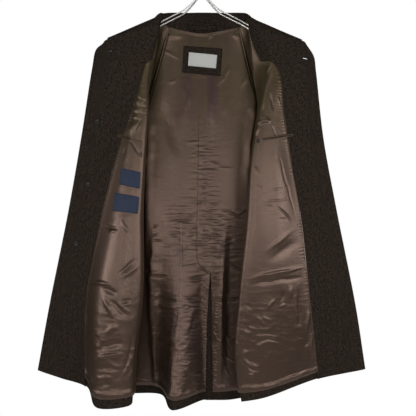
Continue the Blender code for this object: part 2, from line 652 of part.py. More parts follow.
def cut_buttonhole(left_front, panels):
    """The open slit of the top buttonhole, through the left front and its facing."""
    place, inward = place_on(left_front, *BUTTONHOLE_PLACE, 0, -1)
    bpy.ops.mesh.primitive_cube_add(size=1)
    cutter = bpy.context.object
    cutter.name = "buttonhole_cutter"
    cutter.scale = (BUTTONHOLE_LENGTH, BUTTONHOLE_CUT_DEPTH, BUTTONHOLE_GAP)
    bpy.ops.object.transform_apply(location=False, rotation=False, scale=True)
    cutter.location = place
    cutter.rotation_euler = (0, 0, math.atan2(inward[0], -inward[1]))
    cutter.hide_render = True
    cutter.display_type = "WIRE"
    for collection in list(cutter.users_collection):
        collection.objects.unlink(cutter)
    bpy.data.collections["cutters"].objects.link(cutter)
    for panel in panels:
        cut = panel.modifiers.new("Buttonhole", "BOOLEAN")
        cut.operation = "DIFFERENCE"
        cut.object = cutter


def make_hanger():
    """Two arms of bent wire, front and rear, a ferrule and the hook."""
    for side, (sign, _) in SIDES.items():
        front = [np.array([sign * x, -y, -z]) for x, y, z in RAIL]
        rear = [np.array([sign * x, y, -z]) for x, y, z in reversed(RAIL)]
        route = across([*front, *rear], (2,) * (2 * len(RAIL) - 1))
        tube(f"hanger_arm_{side}", route, RAIL_WIRE_RADIUS, "chrome")
    bpy.ops.mesh.primitive_cylinder_add(vertices=BUTTON_SIDES, radius=FERRULE_RADIUS, depth=FERRULE_HEIGHT,
                                        location=(0, 0, -FERRULE_TOP - FERRULE_HEIGHT / 2))
    ferrule = bpy.context.object
    ferrule.name = "hanger_ferrule"
    for collection in list(ferrule.users_collection):
        collection.objects.unlink(ferrule)
    link(ferrule, "chrome")
    radius = HOOK_INSIDE_RADIUS + HOOK_WIRE_RADIUS
    stem = across([np.array([x, 0, -z]) for x, z in HOOK_STEM], (2,) * (len(HOOK_STEM) - 1))
    arc = [np.array([radius * math.cos(a), 0, radius * math.sin(a) - HOOK_INSIDE_RADIUS])
           for a in np.radians(np.linspace(*HOOK_ARC_DEG, HOOK_ARC_POINTS))]
    tube("hanger_hook", [*stem, *arc], HOOK_WIRE_RADIUS, "chrome")


def main():
    clear_scene()
    for name in ("balmacaan_coat", "cutters"):
        bpy.context.scene.collection.children.link(bpy.data.collections.new(name))
    fronts = {side: front_sheet(side) for side in SIDES}
    back = back_sheet()
    panels = {side: make_front(side, fronts[side]) for side in SIDES}
    make_back(back)
    for side in SIDES:
        make_sleeve(side, fronts[side], back)
    make_hang_loop(make_collar())
    make_labels(fronts["right"], back)
    make_pockets(fronts)
    make_buttons(fronts["right"])
    cut_buttonhole(fronts["left"], panels["left"])
    make_hanger()


main()
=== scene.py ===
"""The looks of a balmacaan coat on a twin-wire hanger, its two fronts swung open.

Metres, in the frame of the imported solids: X to the wearer's left, Y to the back, +Z up, the
origin where a rail bears on the hook. Every cloth piece is a thin shell on the lines that its
solid follows, at a finer step, with the creases of the tables below pressed into it.
"""

import math
from collections import namedtuple

import bmesh
import bpy
import numpy as np
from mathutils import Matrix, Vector
from mathutils.kdtree import KDTree


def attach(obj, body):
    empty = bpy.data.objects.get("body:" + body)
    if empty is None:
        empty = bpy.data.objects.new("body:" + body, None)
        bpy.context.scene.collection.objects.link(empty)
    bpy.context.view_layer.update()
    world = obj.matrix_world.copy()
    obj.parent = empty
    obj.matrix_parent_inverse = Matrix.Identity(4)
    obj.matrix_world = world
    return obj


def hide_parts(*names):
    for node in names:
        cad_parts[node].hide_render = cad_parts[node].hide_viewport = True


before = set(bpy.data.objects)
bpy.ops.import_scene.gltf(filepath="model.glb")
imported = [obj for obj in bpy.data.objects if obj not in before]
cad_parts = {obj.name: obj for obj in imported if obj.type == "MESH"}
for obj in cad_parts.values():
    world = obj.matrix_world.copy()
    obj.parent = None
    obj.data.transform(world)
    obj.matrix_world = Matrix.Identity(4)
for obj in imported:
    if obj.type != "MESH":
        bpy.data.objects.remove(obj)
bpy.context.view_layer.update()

# The photograph's view
PHOTO_SIZE = 416
CAMERA_PLACE = (0.0156, -1.6, -0.637)
VIEW_WIDTH = 1.0816
PIXEL_MM = 1000 * VIEW_WIDTH / PHOTO_SIZE
MM = 0.001

# Cloth: thicknesses, how far pieces stand off each other, places in line numbers and in shares of the
# way down, and the rows and columns of the grids.
WOOL = 0.002
FACING = 0.0018
LINING = 0.0007
COLLAR_WOOL = 0.003
LABEL = 0.0006
FACING_LIFT = 0.0009
FACING_EDGE_LIFT = 0.0002
LINING_LIFT = 0.0034
LEAST_LIFT = 0.0007
CLEAR_OF_WOOL = 0.0003
PATCH_LIFT = 0.0009
MAIN_LABEL_LIFT = 0.0003
PATCH_ROUNDS = 40
VENT_LIFT = 0.0004
VENT_HALF_WIDTH = 0.009
VENT_TOP = 0.668
SEAM_BLEND = 0.025
LINING_END = 0.978
UNDERARM = 0.30
LINING_ROWS = 400
BACK_LINING_ROWS = 540
WOOL_ROWS = 150
WOOL_BULGE = 0.0016
SIDE_GAP_LINES = 0.004
FRONT_COLUMNS = (12, 16, 14, 10, 16)
FACING_COLUMNS = 46
BACK_COLUMNS = (8, 10, 12, 3)
BACK_GAP_LINES = (0.003, 0.01)
BACK_LINING_COLUMNS = (12, 24, 20, 9, 3)
STRIP_ROWS = 90
STRIP_COLUMNS = 13
SLEEVE_ROWS = 130
SLEEVE_COLUMNS = 16
SLEEVE_FREE_ROW = 35
SLEEVE_FREE_ROWS = 30
FRONT_LINING_COLUMNS = {"right": (32, 26, 24), "left": (40, 24, 24)}
RIGHT_LABEL_COLUMNS = 60

# Buttons
COAT_BUTTON_RADIUS = 0.0115
BACKING_BUTTON_RADIUS = 0.0064
POCKET_BUTTON_RADIUS = 0.0045
COAT_BUTTON_HEIGHT = 0.0035
BACKING_BUTTON_HEIGHT = 0.0022
COAT_BUTTON_GAP = 0.0022
BACKING_BUTTON_GAP = 0.0004
POCKET_BUTTON_LIFT = 0.0008

# Hanger
HOOK_INSIDE_RADIUS = 0.020
HOOK_WIRE_RADIUS = 0.00225
RAIL_WIRE_RADIUS = 0.0019
FERRULE_TOP = 0.078
FERRULE_HEIGHT = 0.014
FERRULE_RADIUS = 0.006
FERRULE_RIM = 0.0012
FERRULE_CROWN = 0.0004
FERRULE_MOUTH = 0.0025
WIRE_SIDES = 16

# One row of a line's table: how far down the cloth (0 neck, 1 hem), then the distance out
# from the hanger's middle, back from the hanger's plane, and down from the hook.
Station = namedtuple("Station", "down out back drop")


def stations(*rows):
    return [Station(*row) for row in rows]


RIGHT = {
    "edge": stations(
        (0.00, 0.262, 0.040, 0.199), (0.06, 0.280, 0.026, 0.222), (0.12, 0.286, 0.012, 0.268),
        (0.30, 0.313, 0.012, 0.437), (0.50, 0.352, 0.034, 0.634), (0.75, 0.408, 0.056, 0.888),
        (1.00, 0.447, 0.075, 1.078)),
    "lapel": stations(
        (0.00, 0.240, -0.013, 0.202), (0.06, 0.243, -0.021, 0.232), (0.12, 0.240, -0.022, 0.276),
        (0.30, 0.257, -0.010, 0.441), (0.50, 0.303, 0.012, 0.634), (0.75, 0.354, 0.034, 0.876),
        (1.00, 0.378, 0.056, 1.094)),
    "seam": stations(
        (0.00, 0.119, -0.034, 0.1715), (0.08, 0.142, -0.042, 0.265), (0.25, 0.180, -0.035, 0.400),
        (0.35, 0.212, -0.024, 0.488), (0.50, 0.253, -0.010, 0.634), (0.75, 0.299, 0.006, 0.862),
        (1.00, 0.309, 0.035, 1.110)),
    "fold_out": stations(
        (0.00, 0.1145, -0.034, 0.1705), (0.08, 0.1375, -0.043, 0.265), (0.25, 0.163, -0.050, 0.403),
        (0.50, 0.206, -0.051, 0.636), (0.75, 0.250, -0.056, 0.866), (1.00, 0.260, -0.072, 1.134)),
    "fold_in": stations(
        (0.00, 0.110, -0.032, 0.169), (0.08, 0.133, -0.040, 0.265), (0.25, 0.141, -0.049, 0.403),
        (0.50, 0.157, -0.052, 0.636), (0.75, 0.160, -0.058, 0.866), (0.88, 0.177, -0.062, 1.003),
        (1.00, 0.183, -0.070, 1.130)),
    "front_side": stations(
        (0.00, 0.106, -0.022, 0.155), (0.08, 0.128, -0.004, 0.262), (0.20, 0.150, 0.026, 0.370),
        (0.30, 0.166, 0.055, 0.455)),
    "side_seam": stations(
        (0.30, 0.166, 0.055, 0.455), (0.50, 0.166, 0.060, 0.640), (0.75, 0.173, 0.065, 0.880),
        (1.00, 0.190, 0.072, 1.140)),
    "back_side": stations(
        (0.00, 0.088, 0.030, 0.158), (0.08, 0.112, 0.043, 0.245), (0.20, 0.146, 0.055, 0.365),
        (0.30, 0.166, 0.055, 0.455)),
    "hollow": stations(
        (0.00, 0.070, 0.036, 0.162), (0.25, 0.128, 0.050, 0.405), (0.50, 0.140, 0.046, 0.640),
        (0.75, 0.127, 0.050, 0.882), (1.00, 0.115, 0.068, 1.142)),
    "blade": stations(
        (0.00, 0.045, 0.041, 0.166), (0.25, 0.080, 0.045, 0.405), (0.50, 0.074, 0.040, 0.642),
        (0.75, 0.060, 0.020, 0.884), (1.00, 0.076, -0.030, 1.153)),
}
LEFT = {
    "edge": stations(
        (0.00, 0.277, 0.040, 0.203), (0.06, 0.294, 0.026, 0.238), (0.12, 0.297, 0.012, 0.280),
        (0.30, 0.316, 0.012, 0.448), (0.50, 0.354, 0.032, 0.634), (0.75, 0.409, 0.052, 0.888),
        (1.00, 0.443, 0.075, 1.075)),
    "lapel": stations(
        (0.00, 0.254, -0.013, 0.206), (0.06, 0.262, -0.021, 0.240), (0.12, 0.262, -0.022, 0.282),
        (0.30, 0.268, -0.010, 0.447), (0.50, 0.303, 0.010, 0.635), (0.75, 0.346, 0.032, 0.883),
        (1.00, 0.376, 0.056, 1.082)),
    "seam": stations(
        (0.00, 0.144, -0.037, 0.182), (0.08, 0.186, -0.041, 0.266), (0.25, 0.207, -0.034, 0.395),
        (0.35, 0.223, -0.022, 0.488), (0.50, 0.252, -0.009, 0.637), (0.75, 0.281, 0.008, 0.877),
        (1.00, 0.308, 0.035, 1.090)),
    "fold_out": stations(
        (0.00, 0.139, -0.037, 0.181), (0.08, 0.181, -0.042, 0.266), (0.25, 0.174, -0.050, 0.412),
        (0.50, 0.185, -0.048, 0.638), (0.75, 0.168, -0.042, 0.879), (1.00, 0.156, -0.037, 1.120)),
    "fold_in": stations(
        (0.00, 0.134, -0.035, 0.180), (0.08, 0.176, -0.040, 0.266), (0.17, 0.156, -0.046, 0.352),
        (0.25, 0.144, -0.048, 0.415), (0.35, 0.130, -0.048, 0.505), (0.50, 0.121, -0.045, 0.640),
        (0.75, 0.097, -0.040, 0.880), (0.90, 0.088, -0.036, 1.025), (1.00, 0.100, -0.033, 1.130)),
    "front_side": stations(
        (0.00, 0.120, -0.022, 0.163), (0.08, 0.130, 0.002, 0.262), (0.20, 0.152, 0.030, 0.370),
        (0.30, 0.168, 0.055, 0.455)),
    "side_seam": stations(
        (0.30, 0.168, 0.055, 0.455), (0.50, 0.168, 0.060, 0.640), (0.75, 0.174, 0.065, 0.880),
        (1.00, 0.190, 0.072, 1.140)),
    "back_side": stations(
        (0.00, 0.099, 0.030, 0.158), (0.08, 0.119, 0.043, 0.245), (0.20, 0.150, 0.055, 0.365),
        (0.30, 0.168, 0.055, 0.455)),
    "hollow": stations(
        (0.00, 0.074, 0.036, 0.162), (0.25, 0.130, 0.050, 0.405), (0.50, 0.126, 0.052, 0.640),
        (0.75, 0.126, 0.055, 0.882), (1.00, 0.118, 0.056, 1.146)),
    "blade": stations(
        (0.00, 0.047, 0.041, 0.166), (0.25, 0.076, 0.046, 0.405), (0.50, 0.074, 0.047, 0.642),
        (0.75, 0.074, 0.047, 0.884), (1.00, 0.070, 0.046, 1.150)),
}
SPINE = stations((0.00, 0.000, 0.045, 0.171), (0.50, 0.004, 0.047, 0.643), (1.00, 0.014, 0.045, 1.150))

SIDES = {"right": (-1, RIGHT), "left": (1, LEFT)}
FRONT_LINES = ("edge", "lapel", "seam", "fold_out", "fold_in", "front_side")
BACK_LINES = ("back_side", "hollow", "blade")
SEAM_LINE, SIDE_LINE = 2, 5
RIGHT_BLADE_LINE, SPINE_LINE, LEFT_BLADE_LINE, BACK_END_LINE = 2, 4, 6, 8

# The raglan sleeve, a row for each section from the neck to the cuff, as (out, back, drop).
# Rows down to the underarm end on the raglan seams, and the rows below close under the arm.
SleeveRow = namedtuple("SleeveRow", "name down front over rear under")
SLEEVE = [
    SleeveRow("neck", 0.00, (0.105, -0.012, 0.149), (0.101, 0.004, 0.1445), (0.096, 0.018, 0.148), None),
    SleeveRow("collar", 0.03, (0.128, -0.022, 0.168), (0.122, 0.004, 0.151), (0.117, 0.029, 0.164), None),
    SleeveRow("shoulder", 0.06, (0.150, -0.0235, 0.187), (0.142, 0.005, 0.159), (0.136, 0.038, 0.178), None),
    SleeveRow("yoke", 0.12, (0.180, -0.024, 0.217), (0.182, 0.008, 0.178), (0.170, 0.052, 0.212), None),
    SleeveRow("point", 0.18, (0.205, -0.014, 0.264), (0.220, 0.017, 0.205), (0.203, 0.070, 0.252), None),
    SleeveRow("cap", 0.24, (0.226, 0.006, 0.322), (0.256, 0.040, 0.246), (0.230, 0.098, 0.308), None),
    SleeveRow("underarm", UNDERARM, (0.236, 0.024, 0.388), (0.286, 0.066, 0.302), (0.242, 0.122, 0.374),
              None),
    SleeveRow("upper", None, (0.238, 0.036, 0.455), (0.305, 0.086, 0.388), (0.243, 0.136, 0.444),
              (0.176, 0.074, 0.512)),
    SleeveRow("biceps", None, (0.241, 0.046, 0.536), (0.312, 0.096, 0.502), (0.243, 0.144, 0.532),
              (0.177, 0.086, 0.570)),
    SleeveRow("elbow", None, (0.242, 0.054, 0.654), (0.310, 0.101, 0.642), (0.243, 0.145, 0.654),
              (0.178, 0.094, 0.664)),
    SleeveRow("forearm", None, (0.243, 0.056, 0.768), (0.306, 0.098, 0.765), (0.243, 0.137, 0.768),
              (0.182, 0.093, 0.772)),
    SleeveRow("cuff", None, (0.244, 0.054, 0.860), (0.304, 0.091, 0.863), (0.244, 0.126, 0.862),
              (0.184, 0.088, 0.858)),
]
CAP_ROWS = 7
NECK_SHIFT = {"right": 0.0, "left": 0.012}
CUFF_TURN_UP = 0.025

# The collar: from each neckline point up to the roll, then down to the fall's edge, both as
# (out, back, up) from that point.
CollarRow = namedtuple("CollarRow", "line roll fall")
COLLAR = [
    CollarRow("lapel", (0.003, 0.006, 0.002), (0.012, 0.054, -0.025)),
    CollarRow("seam", (-0.002, 0.008, 0.018), (0.036, 0.082, -0.004)),
    CollarRow("fold_in", (-0.002, 0.008, 0.022), (0.038, 0.086, -0.010)),
    CollarRow("front_side", (-0.001, 0.006, 0.017), (0.034, 0.078, -0.020)),
    CollarRow("over", (0.000, 0.003, 0.013), (0.028, 0.066, -0.034)),
    CollarRow("back_side", (-0.006, 0.006, 0.037), (0.020, 0.046, -0.034)),
    CollarRow("blade", (-0.002, 0.006, 0.048), (0.009, 0.040, -0.033)),
]
COLLAR_MIDDLE = CollarRow("spine", (0.000, 0.006, 0.055), (0.000, 0.039, -0.031))
COLLAR_STEPS = 12
FALL_STEPS = 22
STAND_STEPS = 30
LOOP_SLIT = 0.24
FALL_CROWN = 0.010
FALL_DROP = 0.030
FALL_LEVEL_START = 0.45
FALL_LEVEL_END = 0.15
ROLL_GAP = 0.0006

# A label by its photograph pixels: the corners left and right at the top, then right and left below.
Corners = namedtuple("Corners", "name top_left top_right low_right low_left")
MAIN_LABEL_PATCH = Corners("label_patch", (184, 46), (222, 49), (220.3, 76), (182.3, 72.3))
MAIN_LABEL = Corners("label_main", (188.9, 52.2), (217.3, 55), (216, 68.5), (188, 65.8))
FRONT_LABELS = [
    Corners("label_upper", (121.7, 168), (140.6, 172.5), (139.8, 188.6), (120, 184.5)),
    Corners("label_lower", (115.8, 193), (139.2, 197), (137.8, 213.8), (113, 210.8)),
]
# A pocket's mouth by photograph pixels: the slit from the facing's end to the inner end, and its button.
PocketMouth = namedtuple("PocketMouth", "name slit button")
POCKETS = {
    "right": PocketMouth("pocket_mouth_right", ((118.6, 135.6), (124, 137), (130, 138.8)), (140.6, 154.6)),
    "left": PocketMouth("pocket_mouth_left", ((292.4, 135.0), (280, 136.6), (268, 138.6), (259, 139.6)),
                        (258.2, 140.8)),
}
POCKET_TAB = Corners("pocket_tab", (130.6, 139.6), (142.6, 141.2), (141.6, 157), (140.4, 157))
JET_RADIUS = 0.0014
JET_SPACING = 0.0021
JET_LIFT = 0.0036
JET_SIDES = 10
JET_REACH = 0.012
# The thickness of the dark strip that is painted shadow in a pocket's slit.
SLIT_SHADOW_THICKNESS = 0.0004
# A coat button's place: the line number across its front, and the share of the way down.
ButtonPlace = namedtuple("ButtonPlace", "across down")
COAT_BUTTONS = (ButtonPlace(1.13, 0.070), ButtonPlace(0.72, 0.272), ButtonPlace(0.86, 0.439),
                ButtonPlace(0.93, 0.598))
# The buttonhole's middle, in photograph pixels, then its sizes.
BUTTONHOLE = (305.6, 58.5)
BUTTONHOLE_LENGTH = 0.015
BUTTONHOLE_GAP = 0.0036
BUTTONHOLE_CUT_DEPTH = 0.03
BUTTONHOLE_STITCHES = 56
BUTTONHOLE_STITCH_LENGTH = 0.0024
BUTTONHOLE_THREAD_RADIUS = 0.00035
# The hang loop: how far it reaches from the middle, and its edges as shares of the stand's height.
HANG_LOOP_REACH = 0.037
HANG_LOOP_EDGES = (0.36, 0.12)

# A run of stitches: the length of each, the gap between two, and the thread's radius.
Stitch = namedtuple("Stitch", "length gap radius")
PATCH_STITCH = Stitch(0.0026, 0.0020, 0.00030)
LABEL_STITCH = Stitch(0.0020, 0.0016, 0.00022)
FACING_SEAM_STITCH = Stitch(0.0030, 0.0030, 0.0008)
BACK_LINING_STITCH = Stitch(0.0030, 0.0040, 0.0009)
# The stitches that show: their route down the back's lining in pixels, and on the left facing's seam
# the pixel rows between which they lie and the lining's column that they follow.
BACK_STITCH_ROUTE = ((181, 222), (181, 260), (180.5, 298))
BACK_STITCH_LIFT = 0.0022
FACING_STITCH_ROWS = (211, 270)
FACING_STITCH_COLUMN = 2
FACING_STITCH_LIFT = 0.0016

# Hanger wire: from the ferrule out along the front of one arm to its end.
RAIL = ((0.0072, 0.0028, 0.0880), (0.022, 0.008, 0.1040), (0.045, 0.0135, 0.1260), (0.075, 0.015, 0.1420),
        (0.108, 0.0138, 0.1590), (0.145, 0.013, 0.1820), (0.178, 0.011, 0.2020), (0.188, 0.0055, 0.2080))
HOOK_STEM = ((0.000, 0.0775), (0.000, 0.066), (0.002, 0.056), (0.0075, 0.0465))
HOOK_ARC_DEG = (-52, 205)

# The studio: light from all round, the floor, and lamps that face the coat at a height.
AMBIENT = 0.03
FLOOR_SIZE = 3.4
FLOOR_PLACE = (0, -0.65, -1.64)
Lamp = namedtuple("Lamp", "name place size energy aim_height", defaults=(-0.66,))
LAMPS = [
    Lamp("lamp_right", (0.80, -1.65, -0.64), (0.60, 0.36), 6.6),
    Lamp("lamp_left", (-0.45, -1.72, -0.64), (0.60, 0.36), 6.6),
    Lamp("side_right", (1.60, -0.85, -0.62), (0.60, 0.40), 9),
    Lamp("side_left", (-1.60, -0.85, -0.62), (0.60, 0.40), 9),
    Lamp("overhead", (0.0, -1.0, 0.75), (1.2, 0.6), 5, -0.60),
    Lamp("behind_right", (-1.10, 1.60, -0.20), (0.90, 0.60), 10),
    Lamp("behind_left", (1.10, 1.60, -0.20), (0.90, 0.60), 10),
]

# The centre seam of the back's lining, which opens into the vent: a row of the photograph, and the columns
# at which the right half and the left half end there.
SeamPlace = namedtuple("SeamPlace", "row right left")
BACK_SEAM = [
    SeamPlace(30, 203.0, 203.0),
    SeamPlace(47, 202.8, 202.8),
    SeamPlace(77, 201.0, 201.0),
    SeamPlace(116, 199.3, 199.3),
    SeamPlace(144, 198.3, 198.3),
    SeamPlace(167, 198.0, 198.0),
    SeamPlace(196, 197.4, 197.4),
    SeamPlace(224, 196.4, 196.4),
    SeamPlace(257, 196.4, 196.4),
    SeamPlace(264, 198.0, 198.0),
    SeamPlace(269, 205.0, 205.0),
    SeamPlace(273, 210.2, 210.6),
    SeamPlace(285, 209.4, 211.2),
    SeamPlace(297, 208.3, 211.7),
    SeamPlace(322, 207.0, 212.0),
    SeamPlace(355, 206.4, 212.4),
    SeamPlace(392, 206.0, 212.8),
]

# Creases. A route is in photograph pixels on what the photograph shows, or in millimetres
# across and down the cloth on a hidden side. Width and depth are millimetres, and a negative
# depth is a trough. Lean above 0 makes the side to the right of the route's run the wider one.
Fold = namedtuple("Fold", "route width depth lean", defaults=(0,))
BACK_FOLDS = [
    Fold(((160, 36), (172, 35.5), (186, 37)), 6.2, 1.8),
    Fold(((232, 34), (241, 38.5)), 5.0, 1.5),
    Fold(((208, 38.5), (214, 34.5)), 3.8, 1.2),
    Fold(((258, 63), (249, 77), (240, 90)), 3.8, 1.8),
    Fold(((232, 64), (224, 76), (216, 88)), 3.8, 1.2),
    Fold(((161, 49), (170, 54), (181, 60)), 3.1, 1.0),
    Fold(((148, 56), (160, 60)), 5.0, 1.5),
    Fold(((168, 83), (178, 80)), 3.8, 0.9),
    Fold(((249, 82), (264, 79)), 3.8, 1.3),
    Fold(((160, 96), (170, 128), (178, 160)), 14, -2.5),
    Fold(((187, 60), (186, 100), (184, 140)), 9, 1.4),
    Fold(((227, 96), (224, 118)), 3.1, 1.0),
    Fold(((213, 78), (212, 110), (214, 140)), 8, 1.6),
    Fold(((186, 143), (202, 142)), 3.1, 0.6),
    Fold(((193, 147.5), (208, 148)), 3.1, 0.7),
    Fold(((195, 151), (208, 151)), 3.0, -0.5),
    Fold(((194, 158), (208, 159)), 6.2, 0.7),
    Fold(((208, 161), (220, 167)), 3.8, 0.8),
    Fold(((192, 168.5), (222, 168)), 3.0, -0.6),
    Fold(((214, 168), (236, 169)), 3.1, 0.8),
    Fold(((194, 200), (203, 189), (213, 183)), 2.5, 0.8),
    Fold(((210, 184), (217, 186)), 2.5, 0.8),
    Fold(((225, 206), (223.5, 215), (218, 236)), 2, -1.8),
    Fold(((225, 210), (240, 217)), 2.5, 2.0),
    Fold(((234, 216), (248, 208)), 2.5, 2.0),
    Fold(((169, 220), (182, 221), (196, 220.5)), 1.8, -1.8),
    Fold(((152, 228), (160, 225)), 2, -1.3),
    Fold(((153, 236), (161, 233)), 2.2, 1.6),
    Fold(((152, 240), (165, 240.5)), 2.2, -1.3),
    Fold(((181, 222), (181, 260), (180.5, 298)), 2.2, 2.8),
    Fold(((152, 274), (168, 272.5)), 2.5, 1.2),
    Fold(((152, 277), (168, 275.5)), 1.8, -1.8),
    Fold(((184, 274), (189, 279), (199, 276.5), (210, 274)), 1.8, -2.4),
    Fold(((186, 281.5), (198, 280), (209, 277.5)), 2.2, 2.2),
    Fold(((197, 266.5), (204, 269.5), (210, 273)), 2, 2.2),
    Fold(((210, 273.5), (221, 274)), 2, 2.0),
    Fold(((211, 276), (222, 278.5)), 2, 1.7),
    Fold(((222, 241), (234, 240.3)), 2, -2.0),
    Fold(((218, 243.3), (233, 243)), 2, 1.6),
    Fold(((216, 245.6), (232, 246.5)), 2, -2.0),
    Fold(((216, 249), (228, 250)), 2, 1.6),
    Fold(((216, 251.7), (226, 253.5)), 2, -1.8),
    Fold(((214, 257), (227, 256.5)), 2, -1.6),
    Fold(((226, 260.5), (234, 265), (244, 269)), 1.8, -2.2),
    Fold(((226, 263), (234, 268), (243, 271.5)), 2.2, 2.0),
    Fold(((152, 296.5), (166, 295.8), (181, 295.5)), 2.2, 2.6),
    Fold(((152, 300), (166, 300.5), (180, 301)), 3, -3.4),
    Fold(((153, 305), (166, 305.8), (179, 306.5)), 3, 3.2),
    Fold(((155, 309.5), (178, 310)), 2.5, -1.6),
    Fold(((181, 296), (190, 298), (198, 297), (208, 299.5)), 2, -2.6),
    Fold(((181, 299.5), (195, 301), (207, 302)), 2.2, 1.8),
    Fold(((211, 297), (226, 296.5), (242, 296)), 2.5, 3.2),
    Fold(((212, 301.5), (241, 301)), 3, -1.6),
    Fold(((181, 302), (179, 321), (175.5, 339)), 2.2, 3.2),
    Fold(((178, 341), (176, 352)), 2.5, 3.2),
    Fold(((175, 352), (173, 380), (172, 404)), 2.5, 1.8),
    Fold(((181, 308), (189, 304.5)), 2, -2.0),
    Fold(((183, 314), (192, 306)), 2.5, -1.8),
    Fold(((159, 327), (168, 321)), 2, 2.0),
    Fold(((156.5, 334), (162, 331)), 2, 2.2),
    Fold(((159, 338), (167, 339), (175, 338)), 4.5, 3.2),
    Fold(((160, 345), (173, 345.5)), 4, -2.2),
    Fold(((160, 366), (163.5, 373)), 2.2, 2.2),
    Fold(((187, 374.5), (197, 373.5), (206, 372)), 2, 1.8),
    Fold(((189, 383), (200, 381)), 2, 1.7),
    Fold(((184, 366), (192, 360)), 2, 1.5),
    Fold(((195, 306), (189, 322), (183, 339)), 5, 2.2),
    Fold(((213, 330), (217, 336)), 2, 2.6),
    Fold(((214, 333), (218, 341)), 2, 2.6),
    Fold(((216, 339), (223, 340)), 2, 2.6),
    Fold(((224, 337), (231, 334.5)), 2, 2.2),
    Fold(((225, 356), (237, 364)), 2, 2.4),
    Fold(((228, 203), (224, 240), (221, 310), (220, 396)), 15, 18.0, 0.35),
    Fold(((153, 318), (156, 340), (157, 370), (158, 398)), 13, 13.0, -0.4),
    Fold(((258, 45), (256, 80), (253, 120), (249, 160), (246, 205)), 9, 7.0, 0.5),
    Fold(((155, 215), (153.5, 260), (152, 300), (153, 335), (156, 365)), 12, 13.0, -0.4),
    Fold(((158, 50), (150, 100), (148, 150), (148, 220), (149, 310)), 9, 8.0, -0.5),
]
RIGHT_FOLDS = [
    Fold(((129.5, 139.5), (134, 146), (138, 152), (141, 157)), 1.8, -2.4),
    Fold(((124, 137), (134, 128), (144, 121)), 10, 2.6),
    Fold(((136.5, 95.5), (141, 99.5), (147, 103)), 2, -2.6),
    Fold(((135, 99), (140, 103), (146, 106)), 3, 2.6),
    Fold(((132, 109), (139, 110), (145, 111.5)), 2.5, 2.2),
    Fold(((133, 112), (140, 113.5), (146, 115.5)), 2, -2.2),
    Fold(((131, 116), (138, 117), (144, 119)), 3, 1.8),
    Fold(((142, 118), (138.5, 126), (135.5, 133)), 1.8, -1.7),
    Fold(((127.5, 146), (124, 161)), 1.8, -1.0),
    Fold(((122, 219), (125, 226), (129.5, 234)), 4, 2.4),
    Fold(((104, 225.5), (112, 228), (120, 229.5)), 4, -2.2),
    Fold(((109, 233), (118, 230.5)), 4, 1.6),
    Fold(((136, 257.5), (127, 267), (117, 277.5)), 3, -3.2),
    Fold(((139, 263), (129, 273), (121, 281)), 5, 2.6),
    Fold(((89, 283), (100, 282.5), (113, 285)), 4, 3.2),
    Fold(((101, 287), (110, 291), (119, 295)), 6, -4.0),
    Fold(((102, 294), (109, 307), (115, 319)), 5, 4.0),
    Fold(((111, 299), (118, 308), (128, 316)), 4, -4.6),
    Fold(((117, 301), (125, 308), (131, 313)), 4, 2.6),
    Fold(((122.5, 302.5), (131, 299.5)), 2.5, -2.6),
    Fold(((122, 305.5), (131, 303)), 3, 2.0),
    Fold(((104, 335), (112, 328), (122, 327)), 6, 2.2),
    Fold(((87, 302), (83.8, 335), (84.5, 353)), 2.5, 3.0),
    Fold(((90, 305), (87, 335)), 4, -1.6),
    Fold(((85, 353), (90, 370), (97, 387)), 2.5, 2.6),
    Fold(((83, 355), (87, 371), (93, 386)), 2.2, 2.2),
    Fold(((84, 356), (89, 372), (95, 387)), 1.8, -2.0),
    Fold(((98, 350), (110, 345), (126, 341)), 8, -4.0),
    Fold(((94, 362), (100, 357), (108, 354.5), (126, 352.5)), 5, 5.0, 0.5),
    Fold(((96, 369), (110, 368), (122, 371)), 5, -2.6),
    Fold(((97, 379), (105, 377.5), (114, 377.5)), 3.5, 3.2),
    Fold(((100, 385), (112, 384.5)), 3, -2.2),
    Fold(((134, 327), (130.5, 346), (127, 361), (118, 380)), 2.2, -4.0),
    Fold(((136, 335), (132, 355), (124, 376)), 2.5, 2.2),
    Fold(((133, 365), (128, 380)), 2, 1.7),
    Fold(((113, 397), (118, 395), (129, 397)), 2, 2.0),
]
